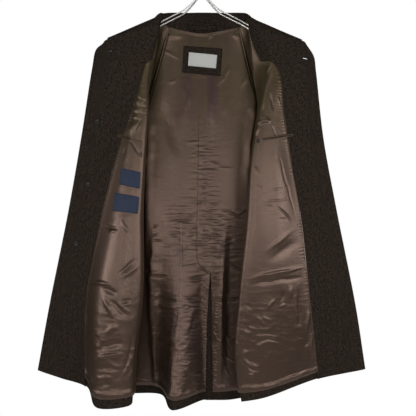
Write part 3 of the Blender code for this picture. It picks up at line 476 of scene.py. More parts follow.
LEFT_FOLDS = [
    Fold(((273, 61), (270.5, 68), (268, 76)), 3, 3.0),
    Fold(((266.5, 88), (264, 100), (261, 112)), 2.5, 2.4),
    Fold(((269.5, 92), (271, 102), (272, 112)), 2.5, -2.2),
    Fold(((277, 96), (279, 108)), 2, 1.4),
    Fold(((258.5, 126), (261, 123), (266, 121.5), (272, 122.5)), 4, 5.0, -0.4),
    Fold(((259.3, 124), (258, 136)), 2.5, 2.6),
    Fold(((273, 126), (273.6, 140)), 1.8, -2.6),
    Fold(((254.5, 164), (257.5, 172), (261, 180)), 3, 1.4),
    Fold(((258, 182), (262, 189)), 3, -0.9),
    Fold(((276.3, 151), (283, 176), (289.5, 199.5), (295, 221)), 1.8, -2.2),
    Fold(((274.5, 155), (287, 200)), 4, 0.5),
    Fold(((262, 191.5), (273, 190), (286, 189)), 2, 0.9),
    Fold(((262, 202), (276, 200), (291, 199)), 2, -1.1),
    Fold(((262, 204.5), (275, 203.5)), 2, 0.9),
    Fold(((273.5, 203), (283, 213), (293.5, 224.5)), 1.8, -2.4),
    Fold(((276, 219.5), (287, 219)), 2, -0.8),
    Fold(((262, 254), (280, 240), (296, 226)), 5, 1.5),
    Fold(((266, 264), (283, 250), (300, 237)), 12, -2.4),
    Fold(((246, 279), (255, 277.5), (263, 275.5), (284, 271), (308, 267)), 4, 3.2, -0.3),
    Fold(((246, 285), (270, 281), (308, 276)), 5, -2.0),
    Fold(((297, 284), (298.5, 310), (298, 333)), 4, -3.0),
    Fold(((290, 283), (289, 300)), 3.5, 2.2),
    Fold(((282, 289), (281, 303)), 2, -2.2),
    Fold(((308, 308), (305, 334)), 3.5, 3.0),
    Fold(((267, 309), (271, 302), (275, 298)), 2.5, 2.4),
    Fold(((280, 308), (284.5, 303)), 2, 2.2),
    Fold(((244.5, 325), (250, 328), (257, 330)), 2, 1.8),
    Fold(((254, 314.5), (260, 320), (266, 326.5)), 2, 2.0),
    Fold(((262, 315), (268, 321)), 2, 1.6),
    Fold(((248, 340), (256, 336), (264, 334.8), (281, 337.5)), 2, 2.2),
    Fold(((252, 345), (266, 339.5), (280, 341)), 3, -2.0),
    Fold(((241, 357.5), (248, 363), (256, 366), (262, 365.2)), 2.8, 3.4),
    Fold(((243, 363), (254, 370), (262, 370)), 2.5, -2.2),
    Fold(((248.5, 373), (254, 377)), 4, 3.0),
    Fold(((312, 330), (309, 352)), 3, 2.6),
    Fold(((308, 338), (303, 360)), 3, 2.2),
    Fold(((303, 360), (296, 372)), 3, 1.7),
    Fold(((247, 303), (249, 310)), 3, -2.2),
    Fold(((246, 322), (248, 333)), 3.5, -2.6),
    Fold(((244, 346), (246, 352)), 3, -2.2),
    Fold(((250, 390), (268, 387), (288, 377.5), (316, 366.5)), 2.5, 2.6),
]
FACING_FOLDS = {
    "right": [
        Fold(((150, 40), (139, 62), (128, 96)), 9, -1.6),
        Fold(((122, 36), (114, 62), (108, 92)), 14, 1.6),
        Fold(((101, 120), (93, 170), (86, 225)), 12, -1.2),
        Fold(((84, 240), (72, 300), (62, 350)), 14, 1.6),
    ],
    "left": [
        Fold(((269, 44), (274, 52), (279, 63)), 4, -3.6),
        Fold(((282, 32), (293, 38), (300, 48), (305, 56)), 3.0, 3.2),
        Fold(((284, 46), (288, 70), (290, 96)), 12, 1.6),
        Fold(((307, 110), (313, 160), (320, 215)), 12, -1.4),
        Fold(((322, 230), (332, 290), (338, 340)), 14, 1.6),
    ],
}

# Sets of small creases: pixels of the box they lie in, their pixel length, and how far apart.
CreaseSet = namedtuple("CreaseSet", "across down length spacing width depth seed")
SMALL_CREASES = [
    CreaseSet((196, 232), (204, 262), (12, 30), 2.9, 1.7, 0.8, 11),
    CreaseSet((164, 199), (225, 264), (10, 26), 3.1, 1.7, 0.7, 12),
    CreaseSet((182, 206), (305, 392), (6, 16), 4.0, 1.8, 0.9, 14),
    CreaseSet((156, 180), (312, 336), (8, 18), 4.6, 1.9, 0.9, 15),
    CreaseSet((202.5, 206), (304, 394), (3.5, 5.5), 2.6, 1.5, 1.9, 16),
    CreaseSet((213, 217), (300, 388), (3.5, 6), 2.7, 1.5, 2.1, 17),
]

# Creases of the hidden sleeves, in millimetres.
SLEEVE_FOLDS = [
    Fold(((40, 330), (90, 350), (150, 340)), 9, -3.0),
    Fold(((60, 362), (110, 372), (170, 355)), 8, 2.6),
    Fold(((30, 392), (85, 398), (130, 390)), 8, -2.4),
    Fold(((150, 300), (200, 330), (250, 320)), 10, 2.4),
    Fold(((240, 372), (300, 388), (350, 376)), 9, -2.6),
    Fold(((260, 410), (310, 420), (350, 402)), 8, 2.2),
    Fold(((70, 200), (95, 260), (100, 320)), 12, 2.0),
    Fold(((280, 190), (262, 250), (250, 310)), 12, -2.2),
    Fold(((120, 470), (150, 540), (160, 610)), 11, 1.8),
    Fold(((230, 480), (222, 560), (235, 640)), 12, -1.8),
]
# How far folds stray from their routes, the size of a patch that strays one way, and the share of its
# length in which a fold fades at each end.
FOLD_STRAY_MM = 2.4
FOLD_STRAY_CELL_MM = 23.4
FOLD_TAPER = 0.45
# Where a lining is drawn into fine level streaks: the middle and the half size of an oval, in pixels,
# and the streaks' height in millimetres.
StreakArea = namedtuple("StreakArea", "middle half height")
STREAK_AREAS = [
    StreakArea((204, 232), (46, 44), 1.0),
    StreakArea((205, 170), (16, 38), 0.65),
    StreakArea((180, 340), (26, 60), 0.50),
    StreakArea((226, 250), (18, 40), 0.60),
    StreakArea((140, 104), (14, 18), 0.70),
    StreakArea((112, 350), (28, 50), 0.22),
    StreakArea((268, 200), (26, 20), 0.40),
    StreakArea((268, 340), (34, 40), 0.22),
]
# The pixel rows between which a lining's small creasing grows, and its least and added height.
ROUGH_ROWS = {"right": (262, 345), "left": (255, 345), "back": (200, 320)}
ROUGH_LEAST = 0.0002
ROUGH_ADDED = 0.0013
# The pixel rows between which a front lining's seam with its facing is gathered most.
PUCKER_ROWS = {"right": (96, 130), "left": (214, 272)}
# The line number where a facing ends, as (down, line): past the fold at the neck, then at the seam.
FACING_END = {
    "right": ((0.00, 4.85), (0.03, 4.75), (0.074, 4.35), (0.096, SEAM_LINE)),
    "left": ((0.00, 4.95), (0.04, 4.80), (0.076, 4.55), (0.098, SEAM_LINE)),
}
# How far from a seam a lining is drawn down to it, and how much.
Hold = namedtuple("Hold", "reach strength")
FACING_HOLD = Hold(0.005, 0.55)
SIDE_HOLD = Hold(0.008, 0.85)
CENTRE_HOLD = Hold(0.003, 0.12)
# Unevenness of cloth: a height in metres and the size of a patch across and down.
Waves = namedtuple("Waves", "height cell")
WOOL_SLOW = Waves(0.0011, (0.075, 0.19))
WOOL_QUICK = Waves(0.0005, (0.032, 0.055))
LINING_DRAPE = Waves(0.0010, (0.045, 0.16))
# Patches of a lining's small creasing in metres, of a sleeve lining's, and of level streaks in pixels.
COARSE_RUFFLE = (0.048, 0.030)
FINE_RUFFLE = (0.026, 0.015)
SLEEVE_RUFFLE = (0.03, 0.05)
LONG_STREAK = (12, 1.5)
SHORT_STREAK = (5, 0.9)
# A lining's lower edge: how high it swells, and how far it turns under.
HEM_SWELL = 0.0022
HEM_TURN = 0.0016
# Gathers at a facing's seam: their height, the length of one, and how far they reach from the seam.
PUCKER_HEIGHT = 0.0011
PUCKER_LENGTH = 0.0075
PUCKER_REACH = 0.013
# How far the wool stands out on the back and the sleeves, and how deep their seams draw it in.
BACK_FULLNESS = 0.0011
BACK_SEAM_DIP = 0.0007
SLEEVE_FULLNESS = 0.0012
SLEEVE_SEAM_DIP = 0.0009
# How much of the vent's strip lies behind the lining on each side, in line numbers, and where it starts.
STRIP_BEHIND = {"right": 0.25, "left": 0.05}
STRIP_TOP = VENT_TOP + 0.03
# The hollow of the stand, the groove in it behind the hang loop, and how the loop stands off it.
STAND_HOLLOW = 0.0018
LOOP_GROOVE = 0.0026
LOOP_GROOVE_HALF = 0.040
LOOP_GAP = 0.0034
LOOP_BOW = 0.0012


def smooth_step(value):
    """0 below 0, 1 above 1, and a smooth rise between."""
    value = np.clip(value, 0, 1)
    return value * value * (3 - 2 * value)


# Curves and sheets of points

def smooth_through(knots, values, at):
    """A smooth curve through values at the knots, read at the places in at."""
    knots, values, at = np.asarray(knots, float), np.asarray(values, float), np.asarray(at, float)
    spans = np.diff(knots)
    slopes = np.diff(values, axis=0) / spans[:, None]
    tangents = np.empty_like(values)
    tangents[0], tangents[-1] = slopes[0], slopes[-1]
    before, after = spans[:-1, None], spans[1:, None]
    tangents[1:-1] = (slopes[:-1] * after + slopes[1:] * before) / (before + after)
    i = np.clip(np.searchsorted(knots, at, side="right") - 1, 0, len(spans) - 1)
    span = spans[i][:, None]
    t = ((at - knots[i]) / spans[i])[:, None]
    return (values[i] * (2 * t**3 - 3 * t**2 + 1) + tangents[i] * span * (t**3 - 2 * t**2 + t)
            + values[i + 1] * (3 * t**2 - 2 * t**3) + tangents[i + 1] * span * (t**3 - t**2))


def line_points(table, sign, downs):
    """World points of one line at the shares of the way down."""
    read = smooth_through([row.down for row in table], [row[1:] for row in table], downs)
    return np.column_stack((sign * read[:, 0], read[:, 1], -read[:, 2]))


def coat_line(tables, name, sign, downs):
    """A line of the coat at every row. A raglan line goes on down as the side seam."""
    points = line_points(tables[name], sign, downs)
    if name.endswith("_side"):
        below = downs > UNDERARM
        points[below] = line_points(tables["side_seam"], sign, downs[below])
    return points


def across(points, places):
    """A smooth curve through points in order, read at places in point numbers."""
    points = np.asarray(points, float)
    knots = np.concatenate(([0], np.cumsum(np.sqrt(np.linalg.norm(np.diff(points, axis=0), axis=1)))))
    return smooth_through(knots, points, np.interp(places, np.arange(len(points)), knots))


def steps_between(marks, counts):
    """Places from each mark to the next, counts[i] spans in each."""
    places = [np.linspace(a, b, n, endpoint=False) for a, b, n in zip(marks, marks[1:], counts)]
    return np.concatenate([*places, [marks[-1]]])


def unit(vectors):
    return vectors / np.linalg.norm(vectors, axis=-1, keepdims=True)


def normals_of(grid):
    return unit(np.cross(np.gradient(grid, axis=0), np.gradient(grid, axis=1)))


Sheet = namedtuple("Sheet", "points inward across downs")


def sheet(lines, places, downs, inner):
    """A grid over lines, with places across that may differ from row to row."""
    places = np.broadcast_to(places, (len(downs), np.shape(places)[-1]))
    points = np.array([across(row, place) for row, place in zip(np.stack(lines, axis=1), places)])
    return Sheet(points, normals_of(points) * inner, places, downs)


def inward_sign(side):
    """A left front's columns run from +X to -X, so its grid normals point outward."""
    return -1 if side == "left" else 1


def front_lines(side, downs):
    sign, tables = SIDES[side]
    return [coat_line(tables, name, sign, downs) for name in FRONT_LINES]


def back_lines(downs):
    """The back's lines, from the right side seam to the left one."""
    right = [coat_line(RIGHT, name, -1, downs) for name in BACK_LINES]
    left = [coat_line(LEFT, name, 1, downs) for name in reversed(BACK_LINES)]
    spine = line_points(SPINE, 1, downs)
    beside = np.array([VENT_HALF_WIDTH, 0, 0])
    return [*right, spine - beside, spine, spine + beside, *left]


def arc_lengths(grid):
    """Distances along the grid's rows and columns, in metres from its first column and row."""
    over = np.linalg.norm(np.diff(grid, axis=1), axis=2)
    down = np.linalg.norm(np.diff(grid, axis=0), axis=2)
    return (np.concatenate((np.zeros((len(grid), 1)), np.cumsum(over, axis=1)), axis=1),
            np.concatenate((np.zeros((1, grid.shape[1])), np.cumsum(down, axis=0)), axis=0))


# Creases

def photo_pixels(points):
    """Where points lie in the photograph."""
    x, y, z = np.moveaxis(np.asarray(points), -1, 0)
    depth = (y - CAMERA_PLACE[1]) / -CAMERA_PLACE[1]
    scale = VIEW_WIDTH / PHOTO_SIZE * depth
    column = PHOTO_SIZE / 2 + (x - CAMERA_PLACE[0]) / scale
    row = PHOTO_SIZE / 2 - (z - CAMERA_PLACE[2]) / scale
    return np.stack((column, row), axis=-1)


def toward_camera(points):
    return unit(np.array(CAMERA_PLACE) - points)


def noise(at, cell, seed):
    """Smooth values from -1 to 1 that change over about one cell."""
    lattice = np.random.default_rng(seed).uniform(-1, 1, (64, 64))
    place = np.asarray(at) / np.asarray(cell, float)
    low = np.floor(place).astype(int)
    share = place - low
    share = share * share * (3 - 2 * share)
    i, j = low[..., 0] % 63, low[..., 1] % 63
    near = lattice[i, j] * (1 - share[..., 0]) + lattice[i + 1, j] * share[..., 0]
    far = lattice[i, j + 1] * (1 - share[..., 0]) + lattice[i + 1, j + 1] * share[..., 0]
    return near * (1 - share[..., 1]) + far * share[..., 1]


def fold_heights(at, folds, unit_mm):
    """The height that folds give at each place, in metres."""
    cell = FOLD_STRAY_CELL_MM / unit_mm
    stray = np.stack((noise(at, cell, 1), noise(at, cell, 2)), axis=-1)
    at = at + stray * FOLD_STRAY_MM / unit_mm
    total = np.zeros(at.shape[:-1])
    for fold in folds:
        route = np.array(fold.route, float)
        steps = np.diff(route, axis=0)
        lengths = np.linalg.norm(steps, axis=1)
        nearest = np.full(total.shape, np.inf)
        share = np.zeros(total.shape)
        side = np.zeros(total.shape)
        run = 0
        for start, step, length in zip(route, steps, lengths):
            away = at - start
            t = np.clip(away @ step / length**2, 0, 1)
            gap = away - t[..., None] * step
            distance = np.linalg.norm(gap, axis=-1)
            closer = distance < nearest
            nearest = np.where(closer, distance, nearest)
            share = np.where(closer, (run + t * length) / lengths.sum(), share)
            turn = step[0] * gap[..., 1] - step[1] * gap[..., 0]
            side = np.where(closer, np.sign(turn), side)
            run += length
        width = fold.width / unit_mm * (1 + fold.lean * side)
        ends = smooth_step(share / FOLD_TAPER) * smooth_step((1 - share) / FOLD_TAPER)
        total += fold.depth * MM * ends * np.exp(-(nearest / width)**2)
    return total


def small_creases(crease_set):
    """Short level creases of uneven length, one above another."""
    draw = np.random.default_rng(crease_set.seed)
    folds = []
    row = crease_set.down[0]
    while row < crease_set.down[1]:
        length = draw.uniform(*crease_set.length)
        first, last = crease_set.across
        start = draw.uniform(first, max(first + 0.1, last - length))
        slope = draw.uniform(-0.09, 0.09) * length
        bow = draw.uniform(-0.8, 0.8)
        route = ((start, row), (start + length / 2, row + slope / 2 + bow), (start + length, row + slope))
        folds.append(Fold(route, crease_set.width, crease_set.depth * draw.uniform(0.5, 1.25)))
        row += crease_set.spacing * draw.uniform(0.7, 1.3)
    return folds


def crumple(at, cell, seed):
    """Creased cloth: sharp ridges between soft hollows, about 0 to 1."""
    first = 1 - np.abs(noise(at, cell, seed))
    second = 1 - np.abs(noise(at, np.asarray(cell) * 0.47, seed + 50))
    return 0.65 * first**3 + 0.35 * second**3


# Objects

def grid_faces(rows, cols, first=0):
    """Quads of a grid whose points are numbered row by row from first."""
    number = first + np.arange(rows * cols).reshape(rows, cols)
    corners = (number[:-1, :-1], number[:-1, 1:], number[1:, 1:], number[1:, :-1])
    return np.stack(corners, axis=-1).reshape(-1, 4)


def shell(name, grid, thickness, finish, outward):
    """A closed cloth shell: the grid, a copy of it moved by thickness along outward, and a rounded rim."""
    rows, cols = grid.shape[:2]
    count = rows * cols
    other = grid + outward * thickness
    facing = np.cross(np.gradient(grid, axis=0), np.gradient(grid, axis=1))
    same_way = np.einsum("ijk,ijk->ij", facing, outward).mean() > 0
    number = np.arange(count).reshape(rows, cols)
    near, far = grid_faces(rows, cols), grid_faces(rows, cols, count)
    ring = np.concatenate((number[0, :-1], number[:-1, -1], number[-1, :0:-1], number[:0:-1, 0]))
    rim_points = (grid.reshape(-1, 3)[ring] + other.reshape(-1, 3)[ring]) / 2
    inside = np.concatenate((number[1, :-1], number[:-1, -2], number[-2, :0:-1], number[:0:-1, 1]))
    pull = unit(grid.reshape(-1, 3)[ring] - grid.reshape(-1, 3)[inside])
    rim_points = rim_points + pull * thickness * 0.3
    rim = 2 * count + np.arange(len(ring))
    after, rim_after = np.roll(ring, -1), np.roll(rim, -1)
    sides = np.concatenate((np.column_stack((ring, rim, rim_after, after)),
                            np.column_stack((rim, ring + count, after + count, rim_after))))
    if same_way:
        faces = np.concatenate((near[:, ::-1], far, sides))
    else:
        faces = np.concatenate((near, far[:, ::-1], sides[:, ::-1]))
    points = np.concatenate((grid.reshape(-1, 3), other.reshape(-1, 3), rim_points))
    flat = np.stack(arc_lengths(grid), axis=-1).reshape(-1, 2)
    places = np.concatenate((flat, flat, flat[ring]))
    return mesh_piece(name, points, faces, finish, places)


def mesh_piece(name, points, faces, finish, places=None):
    """A smooth mesh object, with cloth coordinates in metres as its UV map."""
    mesh = bpy.data.meshes.new(name)
    mesh.from_pydata(points, [], np.asarray(faces).tolist() if isinstance(faces, np.ndarray) else faces)
    mesh.materials.append(finish)
    if places is not None:
        layer = mesh.uv_layers.new(name="cloth")
        corner = np.empty(len(mesh.loops), np.int32)
        mesh.loops.foreach_get("vertex_index", corner)
        layer.data.foreach_set("uv", places[corner].astype(np.float32).ravel())
    obj = bpy.data.objects.new(name, mesh)
    bpy.context.scene.collection.objects.link(obj)
    mesh.shade_smooth()
    return obj


def dress(obj, slot, *nodes):
    """The piece rides on the one body and stands for these solids; the slot is not used."""
    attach(obj, "root")
    if nodes:
        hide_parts(*nodes)
    return obj


def tube_mesh(points, radius, sides):
    """Points and quads of a round closed tube along points."""
    points = np.asarray(points, float)
    along = unit(np.gradient(points, axis=0))
    up = np.where(np.abs(along[:, 2:]) > 0.9, np.array([[1.0, 0, 0]]), np.array([[0, 0, 1.0]]))
    right = unit(np.cross(along, up))
    over = np.cross(right, along)
    turn = np.linspace(0, 2 * math.pi, sides, endpoint=False)
    radius = np.broadcast_to(radius, len(points))
    ring = (right[:, None] * np.cos(turn)[None, :, None] + over[:, None] * np.sin(turn)[None, :, None])
    rings = points[:, None] + ring * radius[:, None, None]
    number = np.arange(len(points) * sides).reshape(len(points), sides)
    after = np.roll(number, -1, axis=1)
    quads = np.stack((number[:-1], number[1:], after[1:], after[:-1]), axis=-1).reshape(-1, 4).tolist()
    return rings.reshape(-1, 3), [*quads, number[0].tolist(), number[-1][::-1].tolist()]


def joined(parts):
    """One list of points and faces from several."""
    points, faces, first = [], [], 0
    for part_points, part_faces in parts:
        points.append(part_points)
        faces.extend([[first + v for v in face] for face in part_faces])
        first += len(part_points)
    return np.concatenate(points), faces


def turned(profile, sides=40):
    """Points and faces turned about Z from (radius, height) rows that start and end on the axis."""
    angle = np.linspace(0, 2 * math.pi, sides, endpoint=False)
    rings = [[(r * math.cos(a), r * math.sin(a), h) for a in angle] for r, h in profile[1:-1]]
    points = np.array([p for ring in rings for p in ring] + [(0, 0, profile[0][1]), (0, 0, profile[-1][1])])
    number = np.arange(len(rings) * sides).reshape(len(rings), sides)
    after = np.roll(number, -1, axis=1)
    faces = np.stack((number[:-1], after[:-1], after[1:], number[1:]), axis=-1).reshape(-1, 4).tolist()
    faces += [[after[0, i], number[0, i], len(points) - 2] for i in range(sides)]
    faces += [[number[-1, i], after[-1, i], len(points) - 1] for i in range(sides)]
    return points, faces


def placed(points, place, direction):
    """Points about the origin, moved to place with +Z turned to direction."""
    turn = np.array(Vector(direction).to_track_quat("Z", "Y").to_matrix())
    return points @ turn.T + place


# Finishes

class Nodes:
    """A material's node tree, with short calls to add and join nodes."""

    def __init__(self, name):
        self.material = bpy.data.materials.new(name)
        self.material.use_nodes = True
        self.tree = self.material.node_tree
        self.shader = self.tree.nodes["Principled BSDF"]

    def add(self, kind, **values):
        node = self.tree.nodes.new(kind)
        for key, value in values.items():
            if key in node.inputs:
                node.inputs[key].default_value = value
            else:
                setattr(node, key, value)
        return node

    def join(self, source, target):
        self.tree.links.new(source, target)

    def feed(self, **sources):
        for key, source in sources.items():
            self.join(source, self.shader.inputs[key.replace("_", " ")])

    def set(self, **values):
        for key, value in values.items():
            self.shader.inputs[key.replace("_", " ")].default_value = value

    def mapped(self, source, scale):
        mapping = self.add("ShaderNodeMapping")
        mapping.inputs["Scale"].default_value = scale
        self.join(self.coordinates.outputs[source], mapping.inputs["Vector"])
        return mapping.outputs["Vector"]

    def noise(self, vector, scale, detail=3.0, roughness=0.55):
        node = self.add("ShaderNodeTexNoise", Scale=scale, Detail=detail, Roughness=roughness)
        self.join(vector, node.inputs["Vector"])
        return node.outputs["Fac"]

    def ramp(self, value, *stops):
        node = self.add("ShaderNodeValToRGB")
        for number, (place, colour) in enumerate(stops):
            if number > 1:
                node.color_ramp.elements.new(place)
            element = node.color_ramp.elements[number]
            element.position = place
            element.color = (*colour, 1)
        self.join(value, node.inputs["Fac"])
        return node.outputs["Color"]

    def mix(self, factor, first, second, blend="MIX"):
        node = self.add("ShaderNodeMix", data_type="RGBA", blend_type=blend)
        for socket, value in (("Factor", factor), ("A", first), ("B", second)):
            named = [s for s in node.inputs if s.name == socket]
            target = next(s for s in named if s.type == "RGBA" or socket == "Factor")
            if isinstance(value, (int, float)):
                target.default_value = value
            elif isinstance(value, tuple):
                target.default_value = (*value, 1)
            else:
                self.join(value, target)
        return next(s for s in node.outputs if s.type == "RGBA")

    def bump(self, height, strength, distance, before=None):
        node = self.add("ShaderNodeBump", Strength=strength, Distance=distance)
        self.join(height, node.inputs["Height"])
        if before is not None:
            self.join(before, node.inputs["Normal"])
        return node.outputs["Normal"]

    def range(self, value, low, high, start=0.0, end=1.0):
        node = self.add("ShaderNodeMapRange")
        for socket, limit in (("From Min", start), ("From Max", end), ("To Min", low), ("To Max", high)):
            node.inputs[socket].default_value = limit
        self.join(value, node.inputs["Value"])
        return node.outputs["Result"]

    def math(self, operation, *values):
        node = self.add("ShaderNodeMath", operation=operation)
        for value, socket in zip(values, node.inputs):
            self.join(value, socket)
        return node.outputs["Value"]

    def wave(self, vector, scale, distortion, **values):
        node = self.add("ShaderNodeTexWave", Scale=scale, Distortion=distortion, **values)
        self.join(vector, node.inputs["Vector"])
        return node.outputs["Fac"]

    @property
    def coordinates(self):
        found = self.tree.nodes.get("coordinates")
        if found is None:
            found = self.tree.nodes.new("ShaderNodeTexCoord")
            found.name = "coordinates"
        return found


def wool_finish():
    """A dark brown woollen with a short nap and flecks of lighter and redder yarn."""
    made = Nodes("wool")
    flecks = made.noise(made.mapped("UV", (1.0, 2.0, 1)), 150, 4, 0.75)
    clouds = made.noise(made.mapped("UV", (2.4, 0.35, 1)), 30, 3, 0.6)
    base = made.ramp(flecks, (0.37, (0.0020, 0.0015, 0.0011)), (0.65, (0.0500, 0.0370, 0.0275)))
    red = made.ramp(clouds, (0.48, (0, 0, 0)), (0.78, (0.5, 0.5, 0.5)))
    twill = made.wave(made.mapped("UV", (1, 1, 1)), 190.0, 2.4, Detail=2.0, bands_direction="DIAGONAL")
    normal = made.bump(twill, 0.22, 0.0006)
    made.feed(Base_Color=made.mix(red, base, (0.0330, 0.0190, 0.0155)),
              Normal=made.bump(flecks, 0.5, 0.0009, normal))
    made.set(Roughness=0.92, Specular_IOR_Level=0.10, Sheen_Weight=0.03, Sheen_Roughness=0.45,
             Sheen_Tint=(0.42, 0.33, 0.26, 1))
    return made.material


def satin_finish():
    """A brown lining satin whose tone varies at random in clouds from olive to plum, with painted light: a
    plum tint painted near the middle stands for sheen there, and a darker plum painted lower down stands for
    the dimmer light there, leaving more olive above.
    """
    made = Nodes("satin")
    clouds = made.noise(made.mapped("Object", (1.0, 1.0, 0.16)), 26.0, 3, 0.55)
    place = made.add("ShaderNodeSeparateXYZ")
    made.join(made.mapped("Object", (1, 1, 1)), place.inputs["Vector"])
    # Painted shade: below Z -0.30 the colour turns by height to the darker plum ramp, for the dimmer light
    # lower down.
    lower = made.range(place.outputs["Z"], 0, 1, -0.30, -0.62)
    # Painted sheen: within 0.13 of the middle in X the clouds keep their full value and lean to plum, for
    # the sheen there; further out they are damped towards olive.
    middle = made.range(made.math("ABSOLUTE", place.outputs["X"]), 0.55, 1, 0.13, 0.05)
    clouds = made.math("MULTIPLY", clouds, middle)
    olive = made.ramp(clouds, (0.42, (0.036, 0.030, 0.012)), (0.62, (0.025, 0.014, 0.017)))
    plum = made.ramp(clouds, (0.40, (0.026, 0.017, 0.011)), (0.64, (0.023, 0.013, 0.014)))
    crinkle = made.noise(made.mapped("UV", (0.7, 3.4, 1)), 130, 4, 0.65)
    weave = made.wave(made.mapped("UV", (1, 1, 1)), 900.0, 1.0)
    along = made.add("ShaderNodeTangent", direction_type="UV_MAP", uv_map="cloth")
    # The base colour mixes the olive ramp above with the darker plum ramp below: painted sheen and painted
    # shade over the satin's random clouds.
    made.feed(Base_Color=made.mix(lower, olive, plum),
              Normal=made.bump(crinkle, 0.30, 0.0012, made.bump(weave, 0.06, 0.0002)),
              Roughness=made.range(crinkle, 0.36, 0.46), Tangent=along.outputs["Tangent"])
    made.set(IOR=1.8, Specular_IOR_Level=0.54, Specular_Tint=(1.0, 0.68, 0.55, 1), Anisotropic=0.5)
    return made.material


def label_finish(name, low, high, roughness):
    """A closely woven label, with fine ribs across it."""
    made = Nodes(name)
    cloth = made.mapped("UV", (1, 1, 1))
    ribs = made.wave(cloth, 560.0, 0.6, bands_direction="Y")
    fibre = made.noise(cloth, 1400, 3)
    made.feed(Base_Color=made.mix(fibre, low, high), Normal=made.bump(ribs, 0.25, 0.0003))
    made.set(Roughness=roughness, Specular_IOR_Level=0.3, Sheen_Weight=0.1)
    return made.material


def horn_finish():
    """Polished dark horn with brown streaks."""
    made = Nodes("horn")
    grain = made.noise(made.mapped("Object", (1, 1, 3)), 260, 4, 0.6)
    made.feed(Base_Color=made.ramp(grain, (0.35, (0.0015, 0.0012, 0.001)), (0.75, (0.010, 0.007, 0.005))),
              Roughness=made.range(grain, 0.34, 0.48))
    made.set(Specular_IOR_Level=0.4, Coat_Weight=0.08, Coat_Roughness=0.25)
    return made.material


def chrome_finish():
    """Bright plated wire with faint drawing marks."""
    made = Nodes("chrome")
    marks = made.noise(made.mapped("Object", (1, 1, 1)), 420, 3)
    made.feed(Base_Color=made.ramp(marks, (0.3, (0.66, 0.65, 0.62)), (0.7, (0.86, 0.85, 0.82))),
              Roughness=made.range(marks, 0.26, 0.36))
    made.set(Metallic=1.0)
    return made.material


def floor_finish():
    """A plain pale studio floor."""
    made = Nodes("floor")
    grain = made.noise(made.mapped("Object", (1, 1, 1)), 40, 2)
    made.feed(Base_Color=made.ramp(grain, (0.3, (0.74, 0.73, 0.71)), (0.7, (0.78, 0.77, 0.75))))
    made.set(Roughness=0.8)
    return made.material


def thread_finish(name, dark, light):
    """Twisted thread."""
    made = Nodes(name)
    fibre = made.noise(made.mapped("Object", (1, 1, 1)), 2600, 2)
    made.feed(Base_Color=made.mix(fibre, dark, light), Normal=made.bump(fibre, 0.3, 0.0002))
    made.set(Roughness=0.7, Specular_IOR_Level=0.25)
    return made.material


WOOL_FINISH = wool_finish()
SATIN_FINISH = satin_finish()
WHITE_FINISH = label_finish("label_white", (0.50, 0.50, 0.475), (0.66, 0.66, 0.63), 0.7)
NAVY_FINISH = label_finish("label_navy", (0.008, 0.016, 0.038), (0.016, 0.028, 0.062), 0.55)
HORN_FINISH = horn_finish()
CHROME_FINISH = chrome_finish()
# Dark thread, whose finish also paints the shadow inside the pocket slits.
DARK_THREAD_AND_SLIT_SHADOW = thread_finish("thread_dark_and_slit_shadow", (0.010, 0.008, 0.006), (0.028, 0.022, 0.018))
LIGHT_THREAD = thread_finish("thread_light", (0.44, 0.36, 0.32), (0.64, 0.54, 0.48))
WHITE_THREAD = thread_finish("thread_white", (0.55, 0.55, 0.53), (0.75, 0.75, 0.73))

# What a cloth piece is made of.
Cloth = namedtuple("Cloth", "thickness finish slot")
WOOL_CLOTH = Cloth(WOOL, WOOL_FINISH, "wool")
FACING_CLOTH = Cloth(FACING, WOOL_FINISH, "wool")
COLLAR_CLOTH = Cloth(COLLAR_WOOL, WOOL_FINISH, "wool")
STRIP_CLOTH = Cloth(LABEL, WOOL_FINISH, "wool")
SATIN_CLOTH = Cloth(LINING, SATIN_FINISH, "satin")
TAB_CLOTH = Cloth(LABEL, SATIN_FINISH, "satin")
WHITE_CLOTH = Cloth(LABEL, WHITE_FINISH, "label_white")
NAVY_CLOTH = Cloth(LABEL, NAVY_FINISH, "label_navy")


# The coat

def cloth_piece(node, cloth, points, outward):
    """A shell of cloth on points that stands for a solid, with the flat cut of the grid it was made from."""
    piece = shell(f"{node}_cloth", points, cloth.thickness, cloth.finish, outward)
    solids = [node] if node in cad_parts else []
    return dress(piece, cloth.slot, *solids)


def wool_waves(grid, seed):
    """The slow unevenness of hanging woollen cloth, in metres."""
    at = np.stack(arc_lengths(grid), axis=-1)
    slow = WOOL_SLOW.height * noise(at, WOOL_SLOW.cell, seed)
    return slow + WOOL_QUICK.height * noise(at, WOOL_QUICK.cell, seed + 1)


def facing_reach(side, downs):
    return np.interp(downs, *np.transpose(FACING_END[side]))


